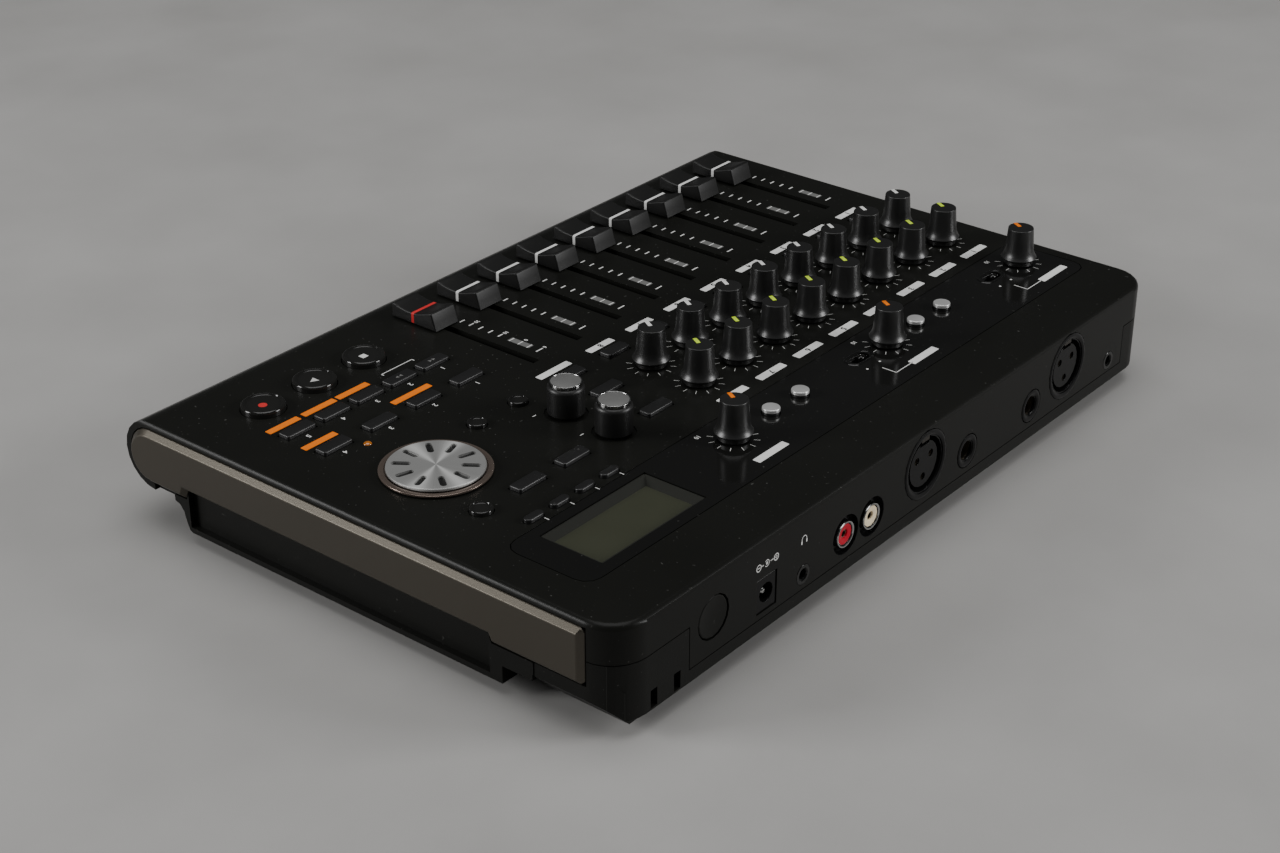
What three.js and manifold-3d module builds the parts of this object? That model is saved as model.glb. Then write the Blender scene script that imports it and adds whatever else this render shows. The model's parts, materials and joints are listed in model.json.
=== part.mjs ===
// Digital multitrack recorder, a desktop unit with nine faders, two rows of knobs and a display.
// Millimetres, +Z up, +X to the user's right, +Y to the connector panel at the back.
// The origin is under the middle of the body, on the surface that its feet stand on.
import * as THREE from 'three';
import { mergeVertices } from 'three/addons/utils/BufferGeometryUtils.js';
import Module from 'manifold-3d';

const wasm = await Module();
wasm.setup();

// Overall body
const BODY_WIDTH = 290;
const BODY_DEPTH = 195.7;
const TOP_Z = 37;
const BASE_Z = 4.6;
const WALL = 2.4;
const TOP_PLATE = 2.6;
const GAP = 0.3;
const OVERRUN = 4;
const SAME_POINT = 0.001;
const HALF_W = BODY_WIDTH / 2;
const HALF_D = BODY_DEPTH / 2;
const PLATE_UNDER_Z = TOP_Z - TOP_PLATE;

// Places on the panel and the back are shares of the half width and of the half depth
const acrossShare = (share) => HALF_W * share;
const alongShare = (share) => HALF_D * share;

// Casing outline
const BROW_INSET = 1.7;
const REAR_CORNER_R = 12;
const FRONT_CORNER_R = 3;
const TOP_EDGE_R = 2;
const NOSE_R = 11.65;
const NOSE_Y = NOSE_R - HALF_D;
const NOSE_Z = TOP_Z - NOSE_R;
const NOSE_UNDER_Z = NOSE_Z - NOSE_R;
const NOSE_LIP_BACK = 20.85;
const NOSE_LIP_Y = NOSE_LIP_BACK - HALF_D;
const DECK_FRONT_BACK = 24.65;
const DECK_FRONT_Y = DECK_FRONT_BACK - HALF_D;
const DECK_FOOT_BACK = 27.85;
const DECK_FOOT_Y = DECK_FOOT_BACK - HALF_D;
const PART_Z = 24.5;
const REAR_WALL_FOOT_Z = 10.8;
const REAR_LIP_Z = 6.4;
const REAR_PART_RIGHT_INSET = 32;
const REAR_PART_RIGHT_X = HALF_W - REAR_PART_RIGHT_INSET;
const REAR_PART_LEFT_INSET = 19;
const REAR_PART_LEFT_X = REAR_PART_LEFT_INSET - HALF_W;
const CASING_X = HALF_W - BROW_INSET;

// Side trims and the pockets under them
const TRIM_THICK = 3.2;
const NOSE_SHOW = 2.4;
const TRIM_NOSE_R = NOSE_R - NOSE_SHOW;
const TRIM_TOP_Z = TOP_Z - NOSE_SHOW;
const TRIM_CHAMFER = 1.7;
const TRIM_CORNER = 1.2;
const TRIM_REAR_INSET = 11.4;
const TRIM_REAR_Y = HALF_D - TRIM_REAR_INSET;
const TRIM_REAR_LOW_Z = 16.6;
const TRIM_LOW_Z = 19;
const POCKET_FRONT_BACK = 27.55;
const POCKET_FRONT_Y = POCKET_FRONT_BACK - HALF_D;
const POCKET_REAR_INSET = 45.45;
const POCKET_REAR_Y = HALF_D - POCKET_REAR_INSET;
const POCKET_LOW_Z = 6.4;
const POCKET_STEP = 1.2;
const RIM_INSET = 1.4;
const RIM_X = HALF_W - RIM_INSET;
const RIM_REAR_INSET = 40.85;
const RIM_REAR_Y = HALF_D - RIM_REAR_INSET;
const SIDE_FACE_X = HALF_W - TRIM_THICK - GAP;
const NOTCH_REAR_INSET = 29.85;
const NOTCH_REAR_Y = HALF_D - NOTCH_REAR_INSET;
const NOTCH_TOP_Z = 10.4;
const CORNER_CHAMFER_WIDE = 7;
const CORNER_CHAMFER_HIGH = 7.4;

// Feet
const FOOT_R = 6.5;
const FOOT_INSET = 24;
const FOOT_X = HALF_W - FOOT_INSET;
const FOOT_REAR_INSET = 13.85;
const FOOT_REAR_Y = HALF_D - FOOT_REAR_INSET;
const FOOT_FRONT_BACK = 37.85;
const FOOT_FRONT_Y = FOOT_FRONT_BACK - HALF_D;
const FOOT_SIDES = 16;

// Faders
const TRACK_COUNT = 8;
const TRACK_PITCH = acrossShare(0.1376);
const TRACK_8_X = acrossShare(0.119);
const MASTER_X = acrossShare(0.2655);
const FADER_TRAVEL = alongShare(0.4599);
const FADER_REST_Y = alongShare(-0.7307);
const SLOT_WIDTH = 3;
const SLOT_PAST_LEVER = 1.6;
const CAP_WIDTH = 11;
const CAP_LENGTH = 20.6;
const CAP_CLEARANCE = 0.5;
const CAP_RIDGE_HIGH = 6.3;
const MARKER_WIDE = 1.2;
const MARKER_DEEP = 0.3;
const LEVER_WIDTH = 1.2;
const LEVER_LENGTH = 5;
const FADER_BODY_WIDTH = 9;
const FADER_BODY_OVER = 7;
const FADER_SLOT_Z = 30.2;

// Knobs on round shafts
const KNOB_HIGH = 13.3;
const KNOB_TOP_R = 4.35;
const KNOB_WAIST_R = 4.9;
const KNOB_FLARE_R = 6.1;
const KNOB_HUB_R = 5;
const KNOB_CLEARANCE = 0.5;
const KNOB_EDGE = 0.4;
const KNOB_SKIRT_SHARE = 0.17;
const KNOB_FLARE_SHARE = 0.25;
const KNOB_WAIST_SHARE = 0.38;
const POINTER_WIDE = 1.5;
const POINTER_START_SHARE = 0.15;
const KNOB_REST_DEG = -30;
const KNOB_SIDES = 12;
const SHAFT_R = 2;
const SHAFT_SIDES = 8;
const SHAFT_FOOT_Z = 30.8;
const PAN_Y = alongShare(0.0736);
const REVERB_Y = alongShare(0.2698);

// Control strip with its knobs, push buttons and slide switches
const STRIP_LEFT_INSET = 8;
const STRIP_LEFT_X = STRIP_LEFT_INSET - HALF_W;
const STRIP_RIGHT_INSET = 15.8;
const STRIP_RIGHT_X = HALF_W - STRIP_RIGHT_INSET;
const STRIP_FRONT_Y = alongShare(0.463);
const STRIP_REAR_Y = alongShare(0.7777);
const STRIP_CORNER_R = 5;
const STRIP_THICK = 1.2;
const STRIP_KNOB_Y = alongShare(0.5795);
const PHONES_X = acrossShare(0.2731);
const INPUT_B_X = acrossShare(-0.2938);
const INPUT_A_X = acrossShare(-0.8552);
const ROUND_BUTTON_Y = alongShare(0.5703);
const ROUND_BUTTON_R = 2.8;
const ROUND_BUTTON_HIGH = 2.2;
const OUTPUT_BUTTON_XS = [0.1345, 0.0297].map(acrossShare);
const INPUT_BUTTON_XS = [-0.4172, -0.5262].map(acrossShare);
const SWITCH_Y = alongShare(0.5672);
const SWITCH_XS = [-0.1952, -0.7469].map(acrossShare);
const SWITCH_SLOT_LONG = 8.6;
const SWITCH_SLOT_WIDE = 4.2;
const SWITCH_LEVER_LONG = 3;
const SWITCH_LEVER_WIDE = 2.2;
const SWITCH_LEVER_HIGH = 0.4;
const SWITCH_TRAVEL = 3;
const SHUTTER_Z = 32.6;

// Display
const WINDOW_LEFT_X = acrossShare(0.4986);
const WINDOW_RIGHT_X = acrossShare(0.8172);
const WINDOW_FRONT_Y = alongShare(0.5008);
const WINDOW_REAR_Y = alongShare(0.7338);
const LCD_FRAME = 3.4;
const LCD_GLASS_DROP = 1.1;

// Equaliser knobs and data wheel
const EQ_X = acrossShare(0.4055);
const EQ_LOW_Y = alongShare(0.0766);
const EQ_HIGH_Y = alongShare(0.2698);
const EQ_HIGH = 11.1;
const EQ_CAP_R = 5.1;
const EQ_BODY_R = 5.85;
const EQ_RECESS_R = 6.9;
const EQ_RECESS_DEEP = 0.4;
const EQ_CAP_HIGH = 1.1;
const EQ_SHOULDER = 2;
const EQ_RIM = 0.7;
const EQ_SIDES = 16;
const WHEEL_X = acrossShare(0.7572);
const WHEEL_Y = alongShare(0.0164);
const WHEEL_R = 16.9;
const WHEEL_DISC_R = 15;
const WHEEL_HIGH = 2.2;
const WHEEL_EDGE = 0.7;
const WHEEL_STEP = 0.4;
const WHEEL_SHAFT_R = 8;
const WHEEL_SHAFT_FOOT_Z = 30.8;
const WHEEL_SIDES = 28;
const WHEEL_SLOTS = 10;
const WHEEL_SLOT_R = 9.1;
const WHEEL_SLOT_LONG = 5.2;
const WHEEL_SLOT_WIDE = 1.3;
const WHEEL_SLOT_DEEP = 0.5;

// Keys
const KEY_HIGH = 1.3;
const KEY_TRAVEL = 0.8;
const KEY_EDGE = 0.5;
const KEY_LONG = 11.5;
const KEY_WIDE = 4.6;
const KEY_CORNER_R = 0.7;
const FLANGE = 1;
const FLANGE_THICK = 0.8;
const REC_KEY_LONG = 10.2;
const REC_KEY_Y = alongShare(-0.0797);
const PUNCH_KEY_Y = alongShare(-0.4824);
const PUNCH_KEY_X = acrossShare(0.8179);
const PUNCH_KEY_PITCH = acrossShare(0.1);
const PUNCH_KEY_COUNT = 5;
const LOCATE_KEY_Y = alongShare(-0.324);
const LOCATE_KEY_X = acrossShare(0.8172);
const LOCATE_KEY_PITCH = acrossShare(0.1317);
const LOCATE_KEY_COUNT = 4;
const MENU_KEY_Y = alongShare(0.279);
const MENU_KEY_X = acrossShare(0.68);
const HOME_KEY_X = acrossShare(0.5462);
const TRACK_EDIT_X = acrossShare(0.8166);
const TRACK_EDIT_R = 3.6;
const FUNCTION_KEY_Y = alongShare(0.4251);
const FUNCTION_KEY_X = acrossShare(0.7745);
const FUNCTION_KEY_PITCH = acrossShare(0.0759);
const FUNCTION_KEY_COUNT = 4;
const FUNCTION_KEY_LONG = 7.2;
const FUNCTION_KEY_WIDE = 2.9;
const TOOL_KEY_Y = alongShare(-0.0858);
const METRONOME_X = acrossShare(0.5621);
const TUNER_X = acrossShare(0.4345);
const TOOL_KEY_R = 3.15;
const SIDE_KEY_X = acrossShare(0.2731);
const SIDE_KEY_YS = [0.2759, 0.0756, -0.0797].map(alongShare);
const TRANSPORT_Y = alongShare(-0.6745);
const TRANSPORT_X = acrossShare(0.7931);
const TRANSPORT_PITCH = acrossShare(0.1483);
const TRANSPORT_R = 7;
const TRANSPORT_HIGH = 2.1;
const TRANSPORT_TRAVEL = 1;
const TRANSPORT_SIDES = 20;
const DOME_LOW_SHARE = 0.5;
const DOME_MID_SHARE = 0.75;
const DOME_RIM_SHARE = 0.93;
const DOME_CROWN_SHARE = 0.75;
const BUTTON_CROWN_SHARE = 0.86;
const SLOT_END_SHARE = 0.45;
const ROUND_KEY_SIDES = 12;

// Boards
const BOARD_THICK = 1.6;
const SWITCH_BLOCK = 5;
const PANEL_BOARD_Z = 26.6;
const PANEL_BOARD_INSET = 11;
const PANEL_BOARD_SIDE_X = HALF_W - PANEL_BOARD_INSET;
const PANEL_BOARD_BACK = 13.85;
const PANEL_BOARD_FRONT_Y = PANEL_BOARD_BACK - HALF_D;
const PANEL_BOARD_REAR_INSET = 28.85;
const PANEL_BOARD_REAR_Y = HALF_D - PANEL_BOARD_REAR_INSET;
const POT_SIZE = 9.5;
const POT_TOP_Z = 31.6;
const BUSH_R = 3.2;
const BUSH_TOP_Z = 33.6;
const POT_WALL = 2;
const BOSS_R = 3;
const BOSS_PLACE_SHARES = [
  [-0.91, 0.39], [-0.91, -0.41], [0.193, 0.42], [0.193, -0.51], [0.897, -0.2], [0.36, -0.63],
  [-0.36, -0.157],
];
const JACK_BOARD_Z = 10.4;
const JACK_BOARD_DEPTH_INSET = 31.85;
const JACK_BOARD_FRONT_Y = HALF_D - JACK_BOARD_DEPTH_INSET;
const JACK_BOARD_REAR_INSET = 2 * WALL + GAP;
const JACK_BOARD_REAR_Y = HALF_D - JACK_BOARD_REAR_INSET;
const JACK_BOARD_LEFT_INSET = 23;
const JACK_BOARD_LEFT_X = JACK_BOARD_LEFT_INSET - HALF_W;
const JACK_BOARD_RIGHT_INSET = 35;
const JACK_BOARD_RIGHT_X = HALF_W - JACK_BOARD_RIGHT_INSET;
const POST_R = 3.2;
const POST_XS = [-0.7724, -0.3448, 0.0966, 0.6483].map(acrossShare);
const POST_INSET = 27.85;
const POST_Y = HALF_D - POST_INSET;

// Connectors on the back, looked at from behind
const XLR_Z = 24.1;
const XLR_R = 11.3;
const XLR_BODY_R = 10;
const XLR_GROOVE_R = 9.1;
const XLR_INSERT_R = 7.6;
const XLR_GROOVE_DEEP = 12;
const XLR_INSERT_DROP = 0.5;
const XLR_DEEP = 19;
const XLR_PIN_R = 1.3;
const XLR_PIN_CIRCLE_R = 4.4;
const XLR_PIN_DEEP = 8;
const XLR_B_X = acrossShare(-0.0207);
const XLR_A_X = acrossShare(-0.6083);
const XLR_SIDES = 20;
const LATCH_WIDE = 5;
const LATCH_DEEP = 4;
const JACK_Z = 18.4;
const JACK_B_X = acrossShare(-0.1883);
const JACK_A_X = acrossShare(-0.4545);
const JACK_NOSE_R = 5.6;
const JACK_BORE_R = 3.25;
const JACK_BODY_WIDE = 13;
const JACK_BODY_DEEP = 24;
const JACK_BORE_DEEP = 21;
const JACK_SIDES = 16;
const MINI_JACK_SIDES = 12;
const PHONO_Z = 19;
const PHONO_RIGHT_X = acrossShare(0.2703);
const PHONO_PITCH = 13.4;
const PHONO_HOLE_R = 6.6;
const PHONO_SHELL_R = 4.2;
const PHONO_SHELL_WALL = 0.9;
const PHONO_PIN_R = 2.6;
const PHONO_BORE_R = 1.6;
const PHONO_DEEP = 12;
const PHONES_Z = 15.6;
const PHONES_JACK_X = acrossShare(0.4166);
const MINI_JACK_R = 3.1;
const MINI_BORE_R = 1.8;
const MINI_BODY_WIDE = 8;
const MINI_BODY_DEEP = 13;
const REMOTE_X = acrossShare(-0.8083);
const REMOTE_Z = 14.9;
const INLET_X = acrossShare(0.5379);
const INLET_Z = 18.2;
const INLET_WIDE = 8.8;
const INLET_HIGH = 10.8;
const INLET_BORE_R = 3.1;
const INLET_PIN_R = 1;
const INLET_DEEP = 13;
const STANDBY_INSET_X = 42.4;
const STANDBY_X = HALF_W - STANDBY_INSET_X;
const STANDBY_Z = 22.4;
const STANDBY_R = 6.7;
const STANDBY_TRAVEL = 1;
const STANDBY_DISH = 0.7;
const STANDBY_BODY = 6;
const STANDBY_INSET = 3.5;
const STANDBY_BACK_Y = HALF_D - STANDBY_INSET;
const STANDBY_DEEP = 3.4;
const VENT_INSETS = [26.6, 16.6];
const VENT_XS = VENT_INSETS.map((inset) => HALF_W - inset);
const VENT_WIDE = 2.8;
const VENT_TOP_Z = 12.7;

// Card slot in the front of the deck, under the nose
const CARD_X = acrossShare(0.4276);
const CARD_Z = 9.2;
const CARD_SLOT_WIDE = 25;
const CARD_SLOT_HIGH = 2.6;

// Wells for the screws that hold the two halves of the casing
const WELL_R = 3.4;
const WELL_DEEP = 1.4;
const WELL_XS = [-0.86, 0, 0.86].map(acrossShare);
const WELL_YS = [-0.56, 0.72].map(alongShare);

// Finishes
const finish = (colour, roughness, metalness = 0) => new THREE.MeshStandardMaterial({
  color: colour, roughness, metalness,
});
const CASING_FINISH = finish(0x1b1b1c, 0.55);
const DECK_FINISH = finish(0x151516, 0.6);
const TRIM_FINISH = finish(0x6e6a62, 0.4, 0.6);
const GLOSS_FINISH = finish(0x0a0a0b, 0.1);
const DISPLAY_FINISH = finish(0x6d715d, 0.3);
const KNOB_FINISH = finish(0x1d1d1e, 0.4);
const KEY_FINISH = finish(0x202022, 0.45);
const SILVER_FINISH = finish(0xb9bab8, 0.3, 0.9);
const BOARD_FINISH = finish(0x1f4a30, 0.6);
const SOCKET_FINISH = finish(0x232325, 0.5);

// From a closed geometry to a solid that can be joined and cut, and back
function solid(geometry) {
  const bare = geometry.index ? geometry.toNonIndexed() : geometry.clone();
  bare.deleteAttribute('normal');
  bare.deleteAttribute('uv');
  const merged = mergeVertices(bare, 1e-5);
  const mesh = new wasm.Mesh({
    numProp: 3,
    vertProperties: new Float32Array(merged.attributes.position.array),
    triVerts: new Uint32Array(merged.index.array),
  });
  mesh.merge();
  return new wasm.Manifold(mesh);
}

function geometryOf(body) {
  const mesh = body.getMesh();
  const geometry = new THREE.BufferGeometry();
  geometry.setAttribute('position', new THREE.BufferAttribute(mesh.vertProperties, 3));
  geometry.setIndex(new THREE.BufferAttribute(mesh.triVerts, 1));
  geometry.computeVertexNormals();
  return geometry;
}

const range = (count) => Array.from({ length: count }, (unused, i) => i);
const join = (...bodies) => bodies.flat().reduce((sum, body) => sum.add(body));
const cut = (body, ...tools) => tools.flat().reduce((rest, tool) => rest.subtract(tool), body);

// A box between two corners
function block(x0, x1, y0, y1, z0, z1) {
  const box = new THREE.BoxGeometry(x1 - x0, y1 - y0, z1 - z0);
  box.translate((x0 + x1) / 2, (y0 + y1) / 2, (z0 + z1) / 2);
  return solid(box);
}

// A round bar between two heights
function post(radius, x, y, z0, z1, sides = SHAFT_SIDES, topRadius = radius) {
  const bar = new THREE.CylinderGeometry(topRadius, radius, z1 - z0, sides);
  bar.rotateX(Math.PI / 2);
  bar.translate(x, y, (z0 + z1) / 2);
  return solid(bar);
}

// A round bar that runs along Y, as the bores of the back panel do
function bore(radius, x, z, y0, y1, sides = SHAFT_SIDES) {
  const bar = new THREE.CylinderGeometry(radius, radius, y1 - y0, sides);
  bar.translate(x, (y0 + y1) / 2, z);
  return solid(bar);
}

// A solid of revolution about a vertical axis, from radius and height pairs
function turned(profile, x, y, sides) {
  const lathe = new THREE.LatheGeometry(profile.map(([r, z]) => new THREE.Vector2(r, z)), sides);
  lathe.rotateX(Math.PI / 2);
  lathe.translate(x, y, 0);
  return solid(lathe);
}

// An outline through a list of points, without repeats
function outline(points) {
  const kept = points.filter(([x, y], i) => {
    const [lastX, lastY] = points[(i + points.length - 1) % points.length];
    return Math.hypot(x - lastX, y - lastY) > SAME_POINT;
  });
  return new THREE.Shape(kept.map(([x, y]) => new THREE.Vector2(x, y)));
}

// An outline with its own radius at each corner
function roundedOutline(corners, segments = 3) {
  const count = corners.length;
  return outline(corners.flatMap(([x, y, r], i) => {
    if (r === 0) return [[x, y]];
    const here = new THREE.Vector2(x, y);
    const before = new THREE.Vector2(...corners[(i + count - 1) % count]).sub(here).normalize();
    const after = new THREE.Vector2(...corners[(i + 1) % count]).sub(here).normalize();
    const half = before.angleTo(after) / 2;
    const reach = r / Math.tan(half);
    const centre = before.clone().add(after).normalize().multiplyScalar(r / Math.sin(half)).add(here);
    const from = before.clone().multiplyScalar(reach).add(here).sub(centre);
    const to = after.clone().multiplyScalar(reach).add(here).sub(centre);
    const turn = Math.atan2(from.cross(to), from.dot(to));
    return range(segments + 1).map((k) => {
      const point = from.clone().rotateAround(new THREE.Vector2(), (turn * k) / segments).add(centre);
      return [point.x, point.y];
    });
  }));
}

const rectangle = (x0, x1, y0, y1, r = 0, segments = 3) => roundedOutline([
  [x0, y0, r], [x1, y0, r], [x1, y1, r], [x0, y1, r],
], segments);

// A plan outline raised between two heights, with an optional rounded or chamfered top edge
function raised(shape, z0, z1, edge = 0, edgeSteps = 1) {
  if (edge === 0) {
    const plain = new THREE.ExtrudeGeometry(shape, { depth: z1 - z0, bevelEnabled: false });
    plain.translate(0, 0, z0);
    return solid(plain);
  }
  const bevelled = new THREE.ExtrudeGeometry(shape, {
    depth: z1 - z0, bevelEnabled: true, bevelThickness: edge, bevelSize: edge,
    bevelOffset: -edge, bevelSegments: edgeSteps,
  });
  bevelled.translate(0, 0, z0 - edge);
  return cut(solid(bevelled), raised(rectangle(-BODY_WIDTH, BODY_WIDTH, -BODY_DEPTH, BODY_DEPTH),
    z0 - edge - OVERRUN, z0));
}

// A side outline, drawn in Y and Z, carried along X
function sideways(shape, x0, x1, edge = 0, edgeDeep = edge) {
  const carried = new THREE.ExtrudeGeometry(shape, {
    depth: x1 - x0 - edgeDeep, bevelEnabled: edge > 0, bevelThickness: edgeDeep, bevelSize: edge,
    bevelOffset: -edge, bevelSegments: 1,
  });
  carried.applyMatrix4(new THREE.Matrix4().makeBasis(
    new THREE.Vector3(0, 1, 0), new THREE.Vector3(0, 0, 1), new THREE.Vector3(1, 0, 0)));
  carried.translate(x0, 0, 0);
  if (edge === 0) return solid(carried);
  return cut(solid(carried), block(x0 - edgeDeep - OVERRUN, x0, -BODY_DEPTH, BODY_DEPTH, -TOP_Z, 2 * TOP_Z));
}

// An outline drawn in X and Z, carried along Y
function lengthways(shape, y0, y1) {
  const carried = new THREE.ExtrudeGeometry(shape, { depth: y1 - y0, bevelEnabled: false });
  carried.rotateX(Math.PI / 2);
  carried.translate(0, y1, 0);
  return solid(carried);
}

const mirrored = (body) => body.mirror([1, 0, 0]);

const group = new THREE.Group();
group.name = 'digital_multitrack_recorder';

// Adds one named piece; its own origin is put where it is turned or slid from
function piece(name, body, material, [x, y, z] = [0, 0, 0]) {
  const geometry = geometryOf(body);
  geometry.translate(-x, -y, -z);
  const mesh = new THREE.Mesh(geometry, material);
  mesh.name = name;
  mesh.position.set(x, y, z);
  group.add(mesh);
}

const trackX = (i) => TRACK_8_X - (TRACK_COUNT - 1 - i) * TRACK_PITCH;
const TRACK_XS = range(TRACK_COUNT).map(trackX);
const FADER_XS = [...TRACK_XS, MASTER_X];
const FADER_END_Y = FADER_REST_Y + FADER_TRAVEL;
const BOARD_TOP_Z = PANEL_BOARD_Z + BOARD_THICK;
const JACK_BOARD_TOP_Z = JACK_BOARD_Z + BOARD_THICK;
const JACK_SEAT_Z = JACK_BOARD_Z + 2 * GAP;
const REAR_INNER_Y = HALF_D - WALL;

const KNOB_PLACES = [
  ...TRACK_XS.map((x) => [x, PAN_Y]),
  ...TRACK_XS.map((x) => [x, REVERB_Y]),
  [PHONES_X, STRIP_KNOB_Y],
  [INPUT_B_X, STRIP_KNOB_Y],
  [INPUT_A_X, STRIP_KNOB_Y],
  [EQ_X, EQ_LOW_Y],
  [EQ_X, EQ_HIGH_Y],
];

const oblong = (x, y, long, wide, r) => ({ x, y, long, wide, r });
const PUNCH_KEYS = range(PUNCH_KEY_COUNT).map((i) => oblong(
  PUNCH_KEY_X - i * PUNCH_KEY_PITCH, PUNCH_KEY_Y, KEY_LONG, KEY_WIDE, KEY_CORNER_R));
const LOCATE_KEYS = range(LOCATE_KEY_COUNT).map((i) => oblong(
  LOCATE_KEY_X - i * LOCATE_KEY_PITCH, LOCATE_KEY_Y, KEY_LONG, KEY_WIDE, KEY_CORNER_R));
const FUNCTION_KEYS = range(FUNCTION_KEY_COUNT).map((i) => oblong(
  FUNCTION_KEY_X - i * FUNCTION_KEY_PITCH, FUNCTION_KEY_Y, FUNCTION_KEY_LONG,
  FUNCTION_KEY_WIDE, FUNCTION_KEY_WIDE / 2));
const REC_KEYS = TRACK_XS.map((x) => oblong(x, REC_KEY_Y, REC_KEY_LONG, KEY_WIDE, KEY_CORNER_R));
const SIDE_KEYS = SIDE_KEY_YS.map((y) => oblong(SIDE_KEY_X, y, KEY_LONG, KEY_WIDE, KEY_CORNER_R));
const disc = (x, y, r) => oblong(x, y, 2 * r, 2 * r, r);
const MENU_KEYS = [
  disc(TRACK_EDIT_X, MENU_KEY_Y, TRACK_EDIT_R),
  oblong(MENU_KEY_X, MENU_KEY_Y, KEY_LONG, KEY_WIDE, KEY_CORNER_R),
  oblong(HOME_KEY_X, MENU_KEY_Y, KEY_LONG, KEY_WIDE, KEY_CORNER_R),
];
const TOOL_KEYS = [disc(METRONOME_X, TOOL_KEY_Y, TOOL_KEY_R), disc(TUNER_X, TOOL_KEY_Y, TOOL_KEY_R)];
const KEY_SETS = {
  record_arm_keys: REC_KEYS,
  punch_and_wind_keys: PUNCH_KEYS,
  locate_keys: LOCATE_KEYS,
  function_keys: FUNCTION_KEYS,
  menu_keys: MENU_KEYS,
  metronome_and_tuner_keys: TOOL_KEYS,
  eq_mute_keys: SIDE_KEYS,
};
const TRANSPORT_KEYS = {
  record_button: TRANSPORT_X,
  play_button: TRANSPORT_X - TRANSPORT_PITCH,
  stop_button: TRANSPORT_X - 2 * TRANSPORT_PITCH,
};
const KEY_UNDER_Z = PLATE_UNDER_Z - GAP - FLANGE_THICK;
const KEY_SWITCH_Z = KEY_UNDER_Z - KEY_TRAVEL - GAP;
const TRANSPORT_SWITCH_Z = KEY_UNDER_Z - TRANSPORT_TRAVEL - GAP;

// Plan outline of a key, grown or shrunk by a margin
function keyOutline(key, margin = 0) {
  if (key.r * 2 === key.wide && key.wide === key.long) {
    return outline(range(ROUND_KEY_SIDES).map((i) => {
      const angle = (2 * Math.PI * (i + 1 / 2)) / ROUND_KEY_SIDES;
      return [key.x + (key.r + margin) * Math.cos(angle), key.y + (key.r + margin) * Math.sin(angle)];
    }));
  }
  const halfLong = key.long / 2 + margin;
  const halfWide = key.wide / 2 + margin;
  const segments = key.r * 2 === key.wide ? 3 : 1;
  return rectangle(key.x - halfLong, key.x + halfLong, key.y - halfWide, key.y + halfWide,
    key.r + margin, segments);
}

// A set of keys on one carrier under the panel, as moulded key mats are
function keySet(keys) {
  const caps = keys.map((key) => raised(keyOutline(key), KEY_UNDER_Z, TOP_Z + KEY_HIGH, KEY_EDGE));
  const reach = (side, half) => keys.map((key) => key[side] + key[half] / 2 + FLANGE);
  const start = (side, half) => keys.map((key) => key[side] - key[half] / 2 - FLANGE);
  const carrier = block(
    Math.min(...start('x', 'long')), Math.max(...reach('x', 'long')),
    Math.min(...start('y', 'wide')), Math.max(...reach('y', 'wide')),
    KEY_UNDER_Z, KEY_UNDER_Z + FLANGE_THICK);
  return join(carrier, caps);
}

// Top casing: panel, full-round nose, rear wall and upper side walls in one moulding
function arc(cy, cz, r, fromDeg, toDeg, steps) {
  return range(steps + 1).map((i) => {
    const angle = THREE.MathUtils.degToRad(fromDeg + ((toDeg - fromDeg) * i) / steps);
    return [cy + r * Math.cos(angle), cz + r * Math.sin(angle)];
  });
}
const NOSE_STEPS = 10;
const EDGE_STEPS = 3;
const CORNER_STEPS = 6;
const shellProfile = outline([
  [HALF_D, REAR_WALL_FOOT_Z],
  [HALF_D, TOP_Z],
  ...arc(NOSE_Y, NOSE_Z, NOSE_R, 90, 270, NOSE_STEPS),
  [NOSE_LIP_Y, NOSE_UNDER_Z],
  [NOSE_LIP_Y, NOSE_UNDER_Z + WALL],
  ...arc(NOSE_Y, NOSE_Z, NOSE_R - WALL, 270, 90, NOSE_STEPS),
  [REAR_INNER_Y, PLATE_UNDER_Z],
  [REAR_INNER_Y, REAR_WALL_FOOT_Z],
]);
const browProfile = outline([
  [HALF_D, TRIM_TOP_Z + GAP],
  [HALF_D, TOP_Z],
  ...arc(NOSE_Y, NOSE_Z, NOSE_R, 90, 270, NOSE_STEPS),
  ...arc(NOSE_Y, NOSE_Z, TRIM_NOSE_R + GAP, 270, 90, NOSE_STEPS),
]);
const sideProfile = outline([
  [REAR_INNER_Y + GAP, PART_Z],
  [REAR_INNER_Y + GAP, PLATE_UNDER_Z + GAP],
  [NOSE_Y, PLATE_UNDER_Z + GAP],
  ...arc(NOSE_Y, NOSE_Z, NOSE_R - WALL + GAP, 90, 270, NOSE_STEPS),
  [NOSE_LIP_Y, NOSE_UNDER_Z + WALL - GAP],
  [NOSE_LIP_Y, PART_Z],
]);
const sidePlate = sideways(sideProfile, SIDE_FACE_X - WALL, SIDE_FACE_X);
const planOutline = (halfWidth) => roundedOutline([
  [-halfWidth, -HALF_D - OVERRUN, 0], [halfWidth, -HALF_D - OVERRUN, 0],
  [halfWidth, HALF_D, REAR_CORNER_R], [-halfWidth, HALF_D, REAR_CORNER_R],
], CORNER_STEPS);
const casingPlan = raised(planOutline(CASING_X), -OVERRUN, TOP_Z, TOP_EDGE_R, EDGE_STEPS);

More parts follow.
